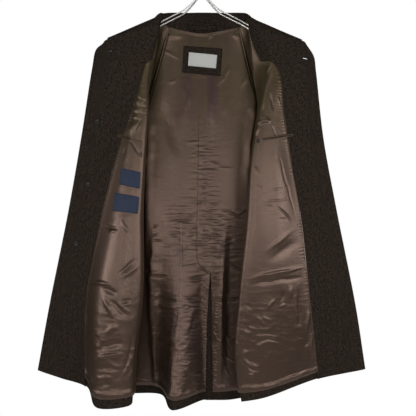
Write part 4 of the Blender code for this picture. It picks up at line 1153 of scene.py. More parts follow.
def make_front(side):
    """A front's outer cloth and its facing."""
    downs = np.linspace(0, 1, WOOL_ROWS)
    lines = front_lines(side, downs)
    inner = inward_sign(side)
    places = steps_between((0.0, 1, 2, 3, 4, SIDE_LINE - SIDE_GAP_LINES), FRONT_COLUMNS)
    panel = sheet(lines, places, downs, inner)
    bulge = 0.5 + 0.5 * wool_waves(panel.points, 20 + inner) / WOOL_BULGE
    outer = np.clip(bulge, 0, 1) * WOOL_BULGE * smooth_step(panel.across / 0.25)
    outside = panel.points - panel.inward * outer[..., None]
    cloth = cloth_piece(f"front_{side}", WOOL_CLOTH, outside, -panel.inward)
    share = np.linspace(0, 1, FACING_COLUMNS)[None]
    strip = sheet(lines, share * (facing_reach(side, downs)[:, None] + 0.02), downs, inner)
    lift = FACING_EDGE_LIFT + (FACING_LIFT - FACING_EDGE_LIFT) * smooth_step(strip.across / 0.3)
    creased = fold_heights(photo_pixels(strip.points), FACING_FOLDS[side], PIXEL_MM)
    inside = smooth_step(strip.across / 0.35) * smooth_step((1 - share) / 0.12)
    waves = np.maximum(0.0003 + wool_waves(strip.points, 31 + inner) * 0.8 + creased, -0.0006) * inside
    points = strip.points + strip.inward * (lift + waves)[..., None]
    outward = normals_of(points) * inner
    facing = cloth_piece(f"facing_{side}", FACING_CLOTH, points, outward)
    return cloth, facing, Sheet(points, strip.inward, strip.across, downs)


def hem_tuck(downs):
    """Where a lining nears its lower edge it swells a little and then turns under."""
    left = (LINING_END - downs) / LINING_END
    return HEM_SWELL * np.exp(-((left - 0.010) / 0.007)**2) - HEM_TURN * np.exp(-(left / 0.004)**2)


def held_down(distance, hold):
    return 1 - hold.strength * (1 - smooth_step(distance / hold.reach))


def lining_lift(source, folds, first, last, seed, rough):
    """How far a lining stands off the wool: its ease, its creases, and seams where it is held down."""
    pixels = photo_pixels(source.points)
    over, down = arc_lengths(source.points)
    at = np.stack((over, down), axis=-1)
    held = held_down(over, first) * held_down(over[:, -1:] - over, last) * smooth_step(down / 0.012 + 0.2)
    ruffle = 0.6 * crumple(at, COARSE_RUFFLE, seed) + 0.5 * crumple(at, FINE_RUFFLE, seed + 7) - 0.40
    drape = LINING_DRAPE.height * noise(at, LINING_DRAPE.cell, seed + 1)
    creased = (drape + rough(pixels) * ruffle + streaks(pixels, seed)
               + fold_heights(pixels, folds, PIXEL_MM))
    lift = LINING_LIFT + creased * away_from_labels(pixels)
    lift = LEAST_LIFT + np.maximum(lift - LEAST_LIFT, 0.15 * (lift - LEAST_LIFT)) * held
    return np.maximum(lift + hem_tuck(source.downs)[:, None], CLEAR_OF_WOOL)


def streaks(pixels, seed):
    """Fine level streaks of uneven length in the stated areas, in metres."""
    long = noise(pixels, LONG_STREAK, seed + 5)
    short = noise(pixels, SHORT_STREAK, seed + 6)
    height = np.zeros(pixels.shape[:-1])
    for area in STREAK_AREAS:
        away = np.linalg.norm((pixels - area.middle) / area.half, axis=-1)
        height += area.height * MM * smooth_step(1.3 - away)
    return height * (0.6 * long + 0.45 * short)


def away_from_labels(pixels):
    """0 under the sewn-on labels, where a lining lies flat, and 1 a few pixels outside them."""
    clear = np.ones(pixels.shape[:-1])
    for label in (MAIN_LABEL_PATCH, *FRONT_LABELS):
        low, high = np.min(label[1:], axis=0), np.max(label[1:], axis=0)
        outside = np.maximum(np.maximum(low - pixels, pixels - high), 0)
        clear = clear * smooth_step(np.linalg.norm(outside, axis=-1) / 4 + 0.1)
    return clear


def seam_puckers(source, seam_distance, pixel_rows, seed):
    """Small gathers across the seam with the facing, in metres."""
    over, down = arc_lengths(source.points)
    rows = photo_pixels(source.points)[..., 1]
    along = down / PUCKER_LENGTH + 0.9 * noise(np.stack((over * 0, down), axis=-1) + 0.01, (1, 0.03), seed)
    reach = np.exp(-(seam_distance / PUCKER_REACH)**2) * smooth_step(seam_distance / 0.003)
    first, last = pixel_rows
    strength = 0.35 + 0.65 * smooth_step((rows - first) / 12) * smooth_step((last - rows) / 12)
    return PUCKER_HEIGHT * np.sin(2 * math.pi * along) * reach * strength


def rough_below(name):
    """A lining's small creasing, stronger towards its hem, in metres."""
    start, full = ROUGH_ROWS[name]

    def amount(pixels):
        return ROUGH_LEAST + ROUGH_ADDED * smooth_step((pixels[..., 1] - start) / (full - start))
    return amount


def make_front_lining(side):
    """A front's lining, from the facing round the fold to the side seam."""
    downs = np.linspace(0, LINING_END, LINING_ROWS)
    inner = inward_sign(side)
    marks = steps_between((0.0, 1, 2, 3), FRONT_LINING_COLUMNS[side])[None] / 3
    start = facing_reach(side, downs)[:, None]
    source = sheet(front_lines(side, downs), start + (SIDE_LINE - start) * marks, downs, inner)
    folds = {"right": RIGHT_FOLDS, "left": LEFT_FOLDS}[side]
    lift = lining_lift(source, folds, FACING_HOLD, SIDE_HOLD, 40 + inner, rough_below(side))
    over, _ = arc_lengths(source.points)
    lift = np.maximum(lift + seam_puckers(source, over, PUCKER_ROWS[side], 44 + inner), CLEAR_OF_WOOL)
    points = source.points + source.inward * lift[..., None]
    outward = normals_of(points) * inner
    cloth_piece(f"lining_front_{side}", SATIN_CLOTH, points, outward)
    return Sheet(points, outward, source.across, downs)


def seam_places(downs):
    """The line number at which each half of the back's lining ends, at each row."""
    dense = np.linspace(RIGHT_BLADE_LINE, LEFT_BLADE_LINE, 161)
    pixels = photo_pixels(sheet(back_lines(downs), dense, downs, 1).points)
    pixel_rows = pixels[:, len(dense) // 2, 1]
    rows = [place.row for place in BACK_SEAM]
    ends = {}
    for side in SIDES:
        columns = np.interp(pixel_rows, rows, [getattr(place, side) for place in BACK_SEAM])
        found = [np.interp(column, line[:, 0], dense) for column, line in zip(columns, pixels)]
        ends[side] = np.array(found)
    return ends


def make_back_wool():
    """The two halves of the back's wool, with a hair's gap at the centre seam."""
    downs = np.linspace(0, 1, WOOL_ROWS)
    lines = back_lines(downs)
    side_gap, centre_gap = BACK_GAP_LINES
    right = steps_between((side_gap, 1, 2, 3, SPINE_LINE - centre_gap), BACK_COLUMNS)
    left = steps_between((SPINE_LINE + centre_gap, 5, 6, 7, BACK_END_LINE - side_gap), BACK_COLUMNS[::-1])
    for side, places in (("right", right), ("left", left)):
        panel = sheet(lines, places, downs, 1)
        outer = BACK_FULLNESS + 0.9 * wool_waves(panel.points, 60 + len(side))
        edge = np.minimum(panel.across, BACK_END_LINE - panel.across)
        outer = np.maximum(outer, 0) * smooth_step(edge / 0.4 + 0.1)
        outer = outer - BACK_SEAM_DIP * np.exp(-((panel.across - SPINE_LINE) / 0.18)**2)
        outside = panel.points - panel.inward * outer[..., None]
        cloth_piece(f"back_{side}", WOOL_CLOTH, outside, -panel.inward)


def make_back_lining():
    """The back's lining on each side of its centre seam, which opens into the vent."""
    downs = np.linspace(0, LINING_END, BACK_LINING_ROWS)
    lines = back_lines(downs)
    folds = BACK_FOLDS + [fold for row in SMALL_CREASES for fold in small_creases(row)]
    ends = seam_places(downs)
    to_spine = steps_between((0.0, 1, 2, 3, 3.94, SPINE_LINE), BACK_LINING_COLUMNS)[None]
    near = np.clip((to_spine - RIGHT_BLADE_LINE) / (SPINE_LINE - RIGHT_BLADE_LINE), 0, None)
    right_end = near * (ends["right"][:, None] - RIGHT_BLADE_LINE)
    left_end = near * (LEFT_BLADE_LINE - ends["left"][:, None])
    left = np.maximum(BACK_END_LINE - to_spine, LEFT_BLADE_LINE) - left_end
    halves = {"right": np.minimum(to_spine, RIGHT_BLADE_LINE) + right_end, "left": left[:, ::-1]}
    sources = {side: sheet(lines, places, downs, 1) for side, places in halves.items()}
    holds = {"right": (SIDE_HOLD, CENTRE_HOLD), "left": (CENTRE_HOLD, SIDE_HOLD)}
    rough = rough_below("back")
    lifts = {side: lining_lift(sources[side], folds, *holds[side], 71, rough) for side in SIDES}
    seam_column = {"right": -1, "left": 0}
    level = sum(lifts[side][:, seam_column[side]] for side in SIDES) / 2
    joined_here = 1 - smooth_step((ends["left"] - ends["right"]) / 0.25)
    made = {}
    for side, source in sources.items():
        over, _ = arc_lengths(source.points)
        by_seam = 1 - smooth_step(np.abs(over - over[:, [seam_column[side]]]) / SEAM_BLEND)
        change = (level - lifts[side][:, seam_column[side]]) * joined_here
        lift = lifts[side] + change[:, None] * by_seam
        points = source.points + source.inward * lift[..., None]
        outward = normals_of(points)
        cloth_piece(f"lining_back_{side}", SATIN_CLOTH, points, outward)
        made[side] = Sheet(points, outward, source.across, downs)
    return made


def make_vent_strip():
    """The wool strip that shows in the vent."""
    downs = np.linspace(STRIP_TOP, 1, STRIP_ROWS)
    ends = seam_places(downs)
    first = ends["right"][:, None] - STRIP_BEHIND["right"]
    last = ends["left"][:, None] + STRIP_BEHIND["left"]
    places = first + (last - first) * np.linspace(0, 1, STRIP_COLUMNS)[None]
    source = sheet(back_lines(downs), places, downs, 1)
    points = source.points + source.inward * VENT_LIFT
    cloth_piece("vent_facing", STRIP_CLOTH, points, normals_of(points))


def sleeve_lines(side):
    """The five lines of a sleeve at dense rows: front seam, front, over-arm, rear, back seam."""
    sign, tables = SIDES[side]
    rows = np.linspace(0, len(SLEEVE) - 1, SLEEVE_ROWS)
    number = np.arange(len(SLEEVE))
    shift = NECK_SHIFT[side] * np.clip(1 - number / (CAP_ROWS - 1), 0, None)
    lines = []
    for name in ("front", "over", "rear"):
        table = np.array([getattr(row, name) for row in SLEEVE])
        table[:, 0] += shift
        lines.append(smooth_through(number, table * (sign, 1, -1), rows))
    cap_downs = np.interp(rows, number[:CAP_ROWS], [row.down for row in SLEEVE[:CAP_ROWS]])
    ends = []
    for name in ("front_side", "back_side"):
        seam = coat_line(tables, name, sign, cap_downs)
        below = rows > CAP_ROWS - 1
        lower = [np.multiply(row.under, (sign, 1, -1)) for row in SLEEVE[CAP_ROWS:]]
        under = np.array([seam[~below][-1], *lower])
        seam[below] = smooth_through(number[CAP_ROWS - 1:], under, rows[below])
        ends.append(seam)
    return [ends[0], *lines, ends[1]], np.where(rows <= CAP_ROWS - 1, cap_downs, np.nan)


def make_sleeve(side, front, back):
    """A two-piece raglan sleeve with a turned cuff, and its lining, sewn to the front's and the back's."""
    inner = inward_sign(side)
    lines, cap_downs = sleeve_lines(side)
    rows = np.linspace(0, 1, SLEEVE_ROWS)
    whole = sheet(lines, steps_between((0.0, 1, 2, 3, 4), (SLEEVE_COLUMNS,) * 4), rows, inner)
    over, down = arc_lengths(whole.points)
    at = np.stack((over, down), axis=-1) / MM
    below_cap = smooth_step((np.arange(SLEEVE_ROWS) - SLEEVE_FREE_ROW) / SLEEVE_FREE_ROWS)[:, None]
    free = below_cap * smooth_step(np.minimum(over, over[:, -1:] - over) / 0.02)
    creased = fold_heights(at, SLEEVE_FOLDS, 1.0) * free
    outer = SLEEVE_FULLNESS + wool_waves(whole.points, 90 + inner) + creased
    seam = SLEEVE_SEAM_DIP * np.exp(-((whole.across - 2) / 0.05)**2)
    grid = whole.points - whole.inward * (np.maximum(outer, -0.002) - seam)[..., None]
    middle = 2 * SLEEVE_COLUMNS
    for name, part in (("front", slice(0, middle + 1)), ("back", slice(middle, None))):
        cloth_piece(f"sleeve_{name}_{side}", WOOL_CLOTH, grid[:, part], -whole.inward[:, part])
    keep = down.mean(axis=1) < down[-1].max() - CUFF_TURN_UP
    coarse = whole.points[keep][::2, ::2]
    inward = whole.inward[keep][::2, ::2]
    over, down = arc_lengths(coarse)
    ruffle = crumple(np.stack((over, down), axis=-1), SLEEVE_RUFFLE, 95)
    edge = smooth_step(np.minimum(over, over[:, -1:] - over) / 0.02)
    inside = coarse + inward * (LEAST_LIFT + (0.0006 + 0.0016 * ruffle) * edge)[..., None]
    cap = cap_downs[keep][::2]
    sewn = np.isfinite(cap)
    for column, body, edge_column in ((0, front, -1), (-1, back, 0 if side == "right" else -1)):
        seam_edge = body.points[:, edge_column]
        inside[sewn, column] = np.column_stack([np.interp(cap[sewn], body.downs, k) for k in seam_edge.T])
    cloth_piece(f"lining_sleeve_{side}", SATIN_CLOTH, inside, inward)


def neckline():
    """The collar's stations: its neckline point, roll and fall edge, from the right front to the left."""

    def station(point, row, sign):
        def shifted(by):
            return np.array(point) + np.array([sign * by[0], by[1], by[2]])
        return np.array(point), shifted(row.roll), shifted(row.fall)

    def half(side):
        sign, tables = SIDES[side]
        made = []
        for row in COLLAR:
            if row.line == "over":
                place = np.add(SLEEVE[0].over, (NECK_SHIFT[side], 0, 0))
            else:
                place = tables[row.line][0][1:]
            made.append(station((sign * place[0], place[1], -place[2]), row, sign))
        return made

    top = SPINE[0]
    middle = station((top.out, top.back, -top.drop), COLLAR_MIDDLE, 1)
    return [*half("right"), middle, *reversed(half("left"))]


def bezier(a, b, c, d, t):
    t = t[:, None]
    return a * (1 - t)**3 + 3 * b * t * (1 - t)**2 + 3 * c * t**2 * (1 - t) + d * t**3


def make_collar():
    """The stand, which shows inside the neck, and the fall, which lies over the shoulders."""
    along = neckline()
    places = np.linspace(0, len(along) - 1, (len(along) - 1) * COLLAR_STEPS + 1)
    neck, roll, fall = (across([station[i] for station in along], places) for i in range(3))
    up = np.array([0, 0, 1])
    share = np.linspace(0, 1, STAND_STEPS + 1)[:, None, None]
    stand = neck + (roll - up * ROLL_GAP - neck) * share
    facing_in = normals_of(stand)
    near_loop = smooth_step((LOOP_GROOVE_HALF - np.abs(stand[..., :1] - 0.002)) / 0.006)
    groove = LOOP_GROOVE * np.exp(-((share - LOOP_SLIT) / 0.06)**2) * near_loop
    stand = stand - facing_in * (STAND_HOLLOW * np.sin(math.pi * share) + groove)
    cloth_piece("collar_stand", COLLAR_CLOTH, stand, facing_in)
    steps = np.linspace(0, 1, FALL_STEPS + 1)
    over = []
    for low, high in zip(roll, fall):
        level = (high - low) * np.array([1, 1, 0])
        rise = low + level * FALL_LEVEL_START + up * FALL_CROWN
        drop = high - level * FALL_LEVEL_END + up * FALL_DROP
        over.append(bezier(low, rise, drop, high, steps))
    points = np.array(over).transpose(1, 0, 2)
    outward = normals_of(points)
    outward = outward * np.sign(outward[FALL_STEPS // 2, len(places) // 2, 2])
    waves = 0.5 * wool_waves(points, 101) * smooth_step(steps / 0.3)[:, None]
    points = points + outward * waves[..., None]
    cloth_piece("collar_fall", COLLAR_CLOTH, points, outward)
    return stand


# Pieces on the panels

def between(grid, row, column):
    """Values of a grid at rows and columns that may lie between its own."""
    r = np.clip(np.asarray(row).astype(int), 0, grid.shape[0] - 2)
    c = np.clip(np.asarray(column).astype(int), 0, grid.shape[1] - 2)
    down, over = np.asarray(row - r)[..., None], np.asarray(column - c)[..., None]
    upper = grid[r, c] * (1 - over) + grid[r, c + 1] * over
    lower = grid[r + 1, c] * (1 - over) + grid[r + 1, c + 1] * over
    return upper * (1 - down) + lower * down


def read_sheet(grid, source, place_across, place_down):
    """The value of a grid on the sheet at a line number and a share of the way down."""
    row = np.interp(place_down, source.downs, np.arange(len(source.downs)))
    marks = source.across[min(int(row), len(source.downs) - 2)]
    return between(grid, row, np.interp(place_across, marks, np.arange(len(marks))))


def whole_back(halves):
    """Both halves of the back lining as one sheet, above the vent."""
    right, left = halves["right"], halves["left"]
    rows = right.downs < VENT_TOP - 0.02
    joined_points = np.concatenate((right.points[rows], left.points[rows, 1:]), axis=1)
    return Sheet(joined_points, normals_of(joined_points),
                 np.concatenate((right.across[rows], left.across[rows, 1:]), axis=1), right.downs[rows])


def smoothed(grid, rounds):
    """A stiffer copy of a grid: each inner point moved towards the mean of its neighbours."""
    grid = grid.copy()
    for _ in range(rounds):
        inner = (grid[:-2, 1:-1] + grid[2:, 1:-1] + grid[1:-1, :-2] + grid[1:-1, 2:]) / 4
        grid[1:-1, 1:-1] = inner
        grid[0, 1:-1] = (grid[0, :-2] + grid[0, 2:]) / 2
        grid[-1, 1:-1] = (grid[-1, :-2] + grid[-1, 2:]) / 2
        grid[1:-1, 0] = (grid[:-2, 0] + grid[2:, 0]) / 2
        grid[1:-1, -1] = (grid[:-2, -1] + grid[2:, -1]) / 2
    return grid


def under_pixels(grid, pixels):
    """Points of a grid that the photograph shows at these pixels."""
    seen = photo_pixels(grid)
    rows, columns = seen.shape[:2]
    tree = KDTree(rows * columns)
    for number, (x, y) in enumerate(seen.reshape(-1, 2)):
        tree.insert((x, y, 0), number)
    tree.balance()
    over, down = np.gradient(seen, axis=1), np.gradient(seen, axis=0)
    found = np.empty((*pixels.shape[:-1], 3))
    for index in np.ndindex(pixels.shape[:-1]):
        _, number, _ = tree.find((*pixels[index], 0))
        r, c = divmod(number, columns)
        step = np.linalg.solve(np.column_stack((over[r, c], down[r, c])), pixels[index] - seen[r, c])
        column, row = np.clip((c, r) + np.clip(step, -1, 1), 0, (columns - 1.001, rows - 1.001))
        found[index] = between(grid, row, column)
    return found


def under_pixel(grid, pixel):
    return under_pixels(grid, np.array([[pixel]]))[0, 0]


def corner_pixels(corners, columns, rows):
    """Pixels over a label, straight between its corners."""
    s, t = np.meshgrid(np.linspace(0, 1, columns), np.linspace(0, 1, rows))
    a, b, c, d = (np.array(corner, float) for corner in corners[1:])
    s, t = s[..., None], t[..., None]
    return (a * (1 - s) + b * s) * (1 - t) + (d * (1 - s) + c * s) * t


def sewn_patch(grid, patch, cloth, lift, size):
    """A flat piece sewn on a cloth's grid, stiffer than it and clear of its creases. Gives its top side."""
    below = under_pixels(grid, corner_pixels(patch, *size))
    points = smoothed(below, PATCH_ROUNDS)
    inward = normals_of(points)
    clear = np.einsum("ijk,ijk->ij", below - points, inward).max()
    points = points + inward * (lift + max(0, clear))
    cloth_piece(patch.name, cloth, points, inward)
    return points + inward * cloth.thickness, inward


def stitches(name, route, inward, finish, stitch):
    """A run of short stitches along a route, each a small thread that dips at its ends."""
    length, gap, radius = stitch
    route, inward = np.asarray(route, float), np.asarray(inward, float)
    walked = np.concatenate(([0], np.cumsum(np.linalg.norm(np.diff(route, axis=0), axis=1))))
    parts = []
    for start in np.arange(gap / 2, walked[-1] - length, length + gap):
        at = start + np.linspace(0, length, 5)
        points = np.column_stack([np.interp(at, walked, route[:, k]) for k in range(3)])
        up = np.column_stack([np.interp(at, walked, inward[:, k]) for k in range(3)])
        points = points + up * (radius * np.array([-1.2, 0.3, 0.7, 0.3, -1.2]))[:, None]
        parts.append(tube_mesh(points, radius, 6))
    piece = mesh_piece(name, *joined(parts), finish)
    return dress(piece, "wool")


def stitch_round(name, top, inward, inset, finish, stitch):
    """Stitches round a piece's top side, inset rows and columns from its edge."""

    def border(grid):
        g = grid[inset:-inset, inset:-inset]
        return np.concatenate((g[0], g[1:, -1], g[-1, -2::-1], g[-2::-1, 0]))

    stitches(name, border(top), border(inward), finish, stitch)


def make_labels(right_lining, back):
    """The label patch inside the neck and the labels on the right front's lining, all bare."""
    under = back.points[back.downs < 0.2]
    top, inward = sewn_patch(under, MAIN_LABEL_PATCH, FACING_CLOTH, PATCH_LIFT, (40, 28))
    stitch_round("label_patch_stitches", top, inward, 2, DARK_THREAD_AND_SLIT_SHADOW, PATCH_STITCH)
    top, inward = sewn_patch(top, MAIN_LABEL, WHITE_CLOTH, MAIN_LABEL_LIFT, (34, 16))
    stitch_round("label_main_stitches", top, inward, 1, WHITE_THREAD, LABEL_STITCH)
    seen = right_lining.points[:, :RIGHT_LABEL_COLUMNS]
    for label in FRONT_LABELS:
        top, inward = sewn_patch(seen, label, NAVY_CLOTH, PATCH_LIFT, (30, 20))
        stitch_round(f"{label.name}_stitches", top, inward, 1, NAVY_FINISH, LABEL_STITCH)


def make_seam_stitches(front_lining, back):
    """Light stitches along the left facing's seam, and down one gathered line of the back's lining."""
    edge = front_lining.points[:, FACING_STITCH_COLUMN]
    first, last = FACING_STITCH_ROWS
    rows = photo_pixels(edge)[:, 1]
    shown = (rows > first) & (rows < last)
    inward = front_lining.inward[shown, FACING_STITCH_COLUMN]
    route = edge[shown] + inward * FACING_STITCH_LIFT
    stitches("facing_seam_stitches", route, inward, LIGHT_THREAD, FACING_SEAM_STITCH)
    pixels = across(BACK_STITCH_ROUTE, np.linspace(0, len(BACK_STITCH_ROUTE) - 1, 120))
    route = under_pixels(back.points, pixels[None])[0]
    toward = toward_camera(route)
    route = route + toward * BACK_STITCH_LIFT
    stitches("back_lining_stitches", route, toward, LIGHT_THREAD, BACK_LINING_STITCH)


def make_pocket(side, lining):
    """An inside breast pocket's mouth: a rolled jet round a slit, a dark strip of painted shadow in the
    slit, and a button near its inner end.
    """
    inner = inward_sign(side)
    mouth = POCKETS[side]
    downs = np.linspace(0.2, 0.5, 150)
    base = sheet(front_lines(side, downs), np.linspace(1.2, 4, 90), downs, inner)
    share = np.linspace(0, len(mouth.slit) - 1, 40)
    pixels = across(mouth.slit, share)[None]
    lifted = base.points + base.inward * JET_LIFT
    line = under_pixels(lifted, pixels)[0]
    toward = toward_camera(line)
    covered = np.einsum("ij,ij->i", under_pixels(lining.points, pixels)[0] - line, toward)
    line = line + toward * np.clip(covered + JET_RADIUS, 0, JET_REACH)[:, None]
    along = unit(np.gradient(line, axis=0))
    up = unit(np.cross(toward, along))
    up = up * np.sign(up[:, 2:])
    turn = np.linspace(math.pi / 2, 3 * math.pi / 2, 9)[1:-1]
    end = [line[0] + JET_SPACING * (math.cos(a) * along[0] + math.sin(a) * up[0]) for a in turn]
    loop = np.concatenate(((line + up * JET_SPACING)[::-1], end, line - up * JET_SPACING))
    walked = np.concatenate(([0], np.cumsum(np.linalg.norm(np.diff(loop, axis=0), axis=1))))
    turned_by = np.linspace(0, 2 * math.pi * JET_RADIUS, JET_SIDES)
    places = np.stack(np.meshgrid(walked, turned_by, indexing="ij"), axis=-1).reshape(-1, 2)
    piece = mesh_piece(f"{mouth.name}_jet", *tube_mesh(loop, JET_RADIUS, JET_SIDES), SATIN_FINISH, places)
    dress(piece, "satin", mouth.name)
    # Painted shadow: a thin strip in the dark thread's finish, between the jet's lips, stands for the shade
    # inside the slit, which is not cut.
    half_shadow_strip = up * JET_SPACING * 0.7
    strip = np.stack((line + half_shadow_strip, line - half_shadow_strip)) - toward * JET_RADIUS * 0.5
    outward = np.broadcast_to(toward, strip.shape)
    dress(shell(f"{mouth.name}_slit", strip, SLIT_SHADOW_THICKNESS, DARK_THREAD_AND_SLIT_SHADOW, outward), "satin")
    if side == "right":
        seen = lining.points[:, :RIGHT_LABEL_COLUMNS]
        sewn_patch(seen, POCKET_TAB, TAB_CLOTH, PATCH_LIFT, (14, 16))
    at = under_pixel(lifted, mouth.button)
    direction = toward_camera(at)
    make_button(f"pocket_button_{side}", at + direction * POCKET_BUTTON_LIFT, direction,
                POCKET_BUTTON_RADIUS, BACKING_BUTTON_HEIGHT)


def make_button(name, place, direction, radius, height):
    """A turned horn button with a raised rim, four holes and its thread."""
    direction = np.asarray(direction) / np.linalg.norm(direction)
    profile = [(0, 0), (radius * 0.72, 0), (radius * 0.93, height * 0.18), (radius, height * 0.5),
               (radius * 0.97, height * 0.82), (radius * 0.88, height), (radius * 0.76, height * 0.97),
               (radius * 0.62, height * 0.72), (radius * 0.3, height * 0.64), (0, height * 0.62)]
    body = turned(profile)
    holes = []
    reach = radius * 0.26
    for x, y in ((1, 1), (1, -1), (-1, -1), (-1, 1)):
        centre = np.array([x * reach * 0.75, y * reach * 0.75, height * 0.70])
        ring = turned([(0, 0), (radius * 0.10, 0), (radius * 0.13, height * 0.03), (0, height * 0.04)], 12)
        holes.append((ring[0] + centre - np.array([0, 0, height * 0.03]), ring[1]))
    thread = []
    for a, b in (((1, 1), (-1, -1)), ((1, -1), (-1, 1))):
        share = np.linspace(0, 1, 7)[:, None]
        start, end = (np.array([s * reach * 0.75, t * reach * 0.75, height * 0.72]) for s, t in (a, b))
        line = start + (end - start) * share + np.array([0, 0, height * 0.16]) * np.sin(math.pi * share)
        thread.append(tube_mesh(line, radius * 0.055, 6))
    points, faces = body
    piece = mesh_piece(f"{name}_horn", placed(points, place, direction), faces, HORN_FINISH)
    dress(piece, "horn", name)
    points, faces = joined([*holes, *thread])
    sewing = mesh_piece(f"{name}_thread", placed(points, place, direction), faces, DARK_THREAD_AND_SLIT_SHADOW)
    dress(sewing, "wool")


def make_buttons(facing):
    """The coat buttons on the right front's outside, each with a backing button on the facing."""
    downs = np.linspace(0, 1, WOOL_ROWS)
    panel = sheet(front_lines("right", downs), steps_between((0.0, 1, 2), (16, 16)), downs, 1)
    for number, button in enumerate(COAT_BUTTONS, 1):
        inward = unit(read_sheet(facing.inward, facing, *button))
        at = read_sheet(facing.points, facing, *button) + inward * (FACING + BACKING_BUTTON_GAP)
        make_button(f"backing_button_{number}", at, inward, BACKING_BUTTON_RADIUS, BACKING_BUTTON_HEIGHT)
        at = read_sheet(panel.points, panel, *button) - inward * (WOOL + COAT_BUTTON_GAP)
        make_button(f"coat_button_{number}", at, -inward, COAT_BUTTON_RADIUS, COAT_BUTTON_HEIGHT)


def cut_through(pieces, cutter):
    """Cuts a slit through thin shells, and closes its walls between their two faces."""
    bpy.context.view_layer.update()
    graph = bpy.context.evaluated_depsgraph_get()
    for piece in pieces:
        cut = piece.modifiers.new("Buttonhole", "BOOLEAN")
        cut.operation = "DIFFERENCE"
        cut.object = cutter
        graph.update()
        made = bpy.data.meshes.new_from_object(piece.evaluated_get(graph))
        piece.modifiers.clear()
        walls = bmesh.new()
        walls.from_mesh(made)
        bmesh.ops.bridge_loops(walls, edges=[edge for edge in walls.edges if edge.is_boundary])
        bmesh.ops.recalc_face_normals(walls, faces=walls.faces)
        walls.to_mesh(made)
        walls.free()
        piece.data = made


def make_buttonhole(facing, pieces):
    """The open slit of the top buttonhole, and the close stitches round it."""
    place = under_pixel(facing.points, BUTTONHOLE)
    near = np.argmin(np.linalg.norm(facing.points - place, axis=2))
    inward = unit(facing.inward.reshape(-1, 3)[near])
    place = place + inward * FACING
    toward = np.array(CAMERA_PLACE) - place
    bpy.ops.mesh.primitive_cube_add(size=1)
    cutter = bpy.context.object
    cutter.scale = (BUTTONHOLE_LENGTH, BUTTONHOLE_CUT_DEPTH, BUTTONHOLE_GAP)
    cutter.location = place
    cutter.rotation_euler = (0, 0, math.atan2(toward[0], -toward[1]))
    cut_through(pieces, cutter)
    bpy.data.objects.remove(cutter)
    side = unit(np.cross(inward, [0, 0, 1]))
    up = np.cross(side, inward)
    half, gap = BUTTONHOLE_LENGTH / 2 / max(0.4, -inward[1]), BUTTONHOLE_GAP / 2
    parts = []
    for turn in np.linspace(0, 2 * math.pi, BUTTONHOLE_STITCHES, endpoint=False):
        centre = side * np.clip(math.cos(turn) * half * 1.6, -half, half)
        lift = math.copysign(min(1, abs(math.sin(turn)) * 1.8), math.sin(turn))
        out = unit(up * lift + side * math.cos(turn) * 0.25)
        root = place + centre + out * gap
        reach = out * BUTTONHOLE_STITCH_LENGTH
        line = [root + reach * s + inward * (0.0006 * math.sin(math.pi * s) - 0.0001)
                for s in np.linspace(0, 1, 5)]
        parts.append(tube_mesh(line, BUTTONHOLE_THREAD_RADIUS, 6))
    dress(mesh_piece("buttonhole_stitches", *joined(parts), DARK_THREAD_AND_SLIT_SHADOW), "wool")


def make_hang_loop(stand):
    """A strip of wool across the inside of the stand, held at its two ends, with its lower edge free."""
    middle = stand.shape[1] // 2
    near = stand[:, middle - 24:middle + 25]
    out = np.linspace(-HANG_LOOP_REACH, HANG_LOOP_REACH, 30)
    rows = []
    for share in np.linspace(*HANG_LOOP_EDGES, 6):
        row = near[0] + (near[-1] - near[0]) * share
        rows.append(np.column_stack([np.interp(out, row[:, 0], row[:, k]) for k in range(3)]))
    inward = np.array([0, -1, 0])
    bow = LOOP_GAP + LOOP_BOW * np.sin(math.pi * np.linspace(0, 1, len(out)))
    points = np.array(rows) + inward * bow[None, :, None]
    piece = shell("hang_loop_cloth", points, FACING, WOOL_FINISH, np.broadcast_to(inward, points.shape))
    dress(piece, "wool", "hang_loop")


def make_hanger():
    """Two arms of bent wire, front and rear, a ferrule and the hook."""
    for side, (sign, _) in SIDES.items():
        front = [np.array([sign * x, -y, -z]) for x, y, z in RAIL]
        rear = [np.array([sign * x, y, -z]) for x, y, z in reversed(RAIL)]
        count = 2 * len(RAIL) - 1
        route = across([*front, *rear], np.linspace(0, count, count * 10 + 1))
        wire = tube_mesh(route, RAIL_WIRE_RADIUS, WIRE_SIDES)
        dress(mesh_piece(f"hanger_wire_{side}", *wire, CHROME_FINISH), "chrome", f"hanger_arm_{side}")
    radius, rim = FERRULE_RADIUS, FERRULE_RIM
    top, low = -FERRULE_TOP, -FERRULE_TOP - FERRULE_HEIGHT
    crown = top + FERRULE_CROWN
    ferrule = turned([(0, low), (radius - rim, low), (radius, low + rim), (radius, top - rim),
                      (radius - rim, top), (FERRULE_MOUTH, crown), (0, crown)])
    dress(mesh_piece("hanger_ferrule_turned", *ferrule, CHROME_FINISH), "chrome", "hanger_ferrule")
    radius = HOOK_INSIDE_RADIUS + HOOK_WIRE_RADIUS
    stem = across([np.array([x, 0, -z]) for x, z in HOOK_STEM], np.linspace(0, len(HOOK_STEM) - 1, 25))
    arc = [np.array([radius * math.cos(a), 0, radius * math.sin(a) - HOOK_INSIDE_RADIUS])
           for a in np.radians(np.linspace(*HOOK_ARC_DEG, 60))]
    hook = tube_mesh([*stem, *arc], HOOK_WIRE_RADIUS, WIRE_SIDES)
    dress(mesh_piece("hanger_hook_wire", *hook, CHROME_FINISH), "chrome", "hanger_hook")


# Studio

def make_lamp(lamp):
    """A soft white lamp that faces the coat."""
    light = bpy.data.lights.new(lamp.name, "AREA")
    light.shape = "RECTANGLE"
    light.size, light.size_y = lamp.size
    light.energy = lamp.energy
    obj = bpy.data.objects.new(lamp.name, light)
    obj.location = lamp.place
    aim = Vector((0, 0, lamp.aim_height)) - Vector(lamp.place)
    obj.rotation_euler = aim.to_track_quat("-Z", "Y").to_euler()
    bpy.context.scene.collection.objects.link(obj)


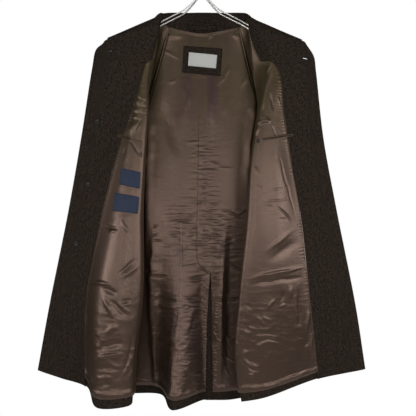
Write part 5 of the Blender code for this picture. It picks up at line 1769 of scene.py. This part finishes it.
def make_studio():
    """A white surround, soft lamps before, beside, above and behind the coat, a floor, and the camera."""
    scene = bpy.context.scene
    scene.view_settings.view_transform = "Standard"
    world = bpy.data.worlds.new("studio")
    scene.world = world
    world.use_nodes = True
    tree = world.node_tree
    ambient = tree.nodes["Background"]
    ambient.inputs["Color"].default_value = (1, 1, 1, 1)
    ambient.inputs["Strength"].default_value = AMBIENT
    seen = tree.nodes.new("ShaderNodeBackground")
    seen.inputs["Color"].default_value = (1, 1, 1, 1)
    rays = tree.nodes.new("ShaderNodeLightPath")
    either = tree.nodes.new("ShaderNodeMixShader")
    tree.links.new(rays.outputs["Is Camera Ray"], either.inputs["Fac"])
    tree.links.new(ambient.outputs["Background"], either.inputs[1])
    tree.links.new(seen.outputs["Background"], either.inputs[2])
    tree.links.new(either.outputs["Shader"], tree.nodes["World Output"].inputs["Surface"])
    for lamp in LAMPS:
        make_lamp(lamp)
    bpy.ops.mesh.primitive_plane_add(size=FLOOR_SIZE, location=FLOOR_PLACE)
    floor = bpy.context.object
    floor.name = "floor"
    floor.data.materials.append(floor_finish())
    camera = bpy.data.objects.new("camera", bpy.data.cameras.new("camera"))
    camera.location = CAMERA_PLACE
    camera.rotation_euler = (math.pi / 2, 0, 0)
    camera.data.angle = 2 * math.atan(VIEW_WIDTH / 2 / -CAMERA_PLACE[1])
    scene.collection.objects.link(camera)
    scene.camera = camera


def main():
    make_studio()
    make_hanger()
    panels, facings, facing_sheets, linings = {}, {}, {}, {}
    for side in SIDES:
        panels[side], facings[side], facing_sheets[side] = make_front(side)
        linings[side] = make_front_lining(side)
    make_back_wool()
    back_halves = make_back_lining()
    make_vent_strip()
    back = whole_back(back_halves)
    for side in SIDES:
        make_sleeve(side, linings[side], back_halves[side])
    make_hang_loop(make_collar())
    make_labels(linings["right"], back)
    make_seam_stitches(linings["left"], back_halves["right"])
    for side in SIDES:
        make_pocket(side, linings[side])
    make_buttons(facing_sheets["right"])
    make_buttonhole(facing_sheets["left"], (panels["left"], facings["left"]))


main()
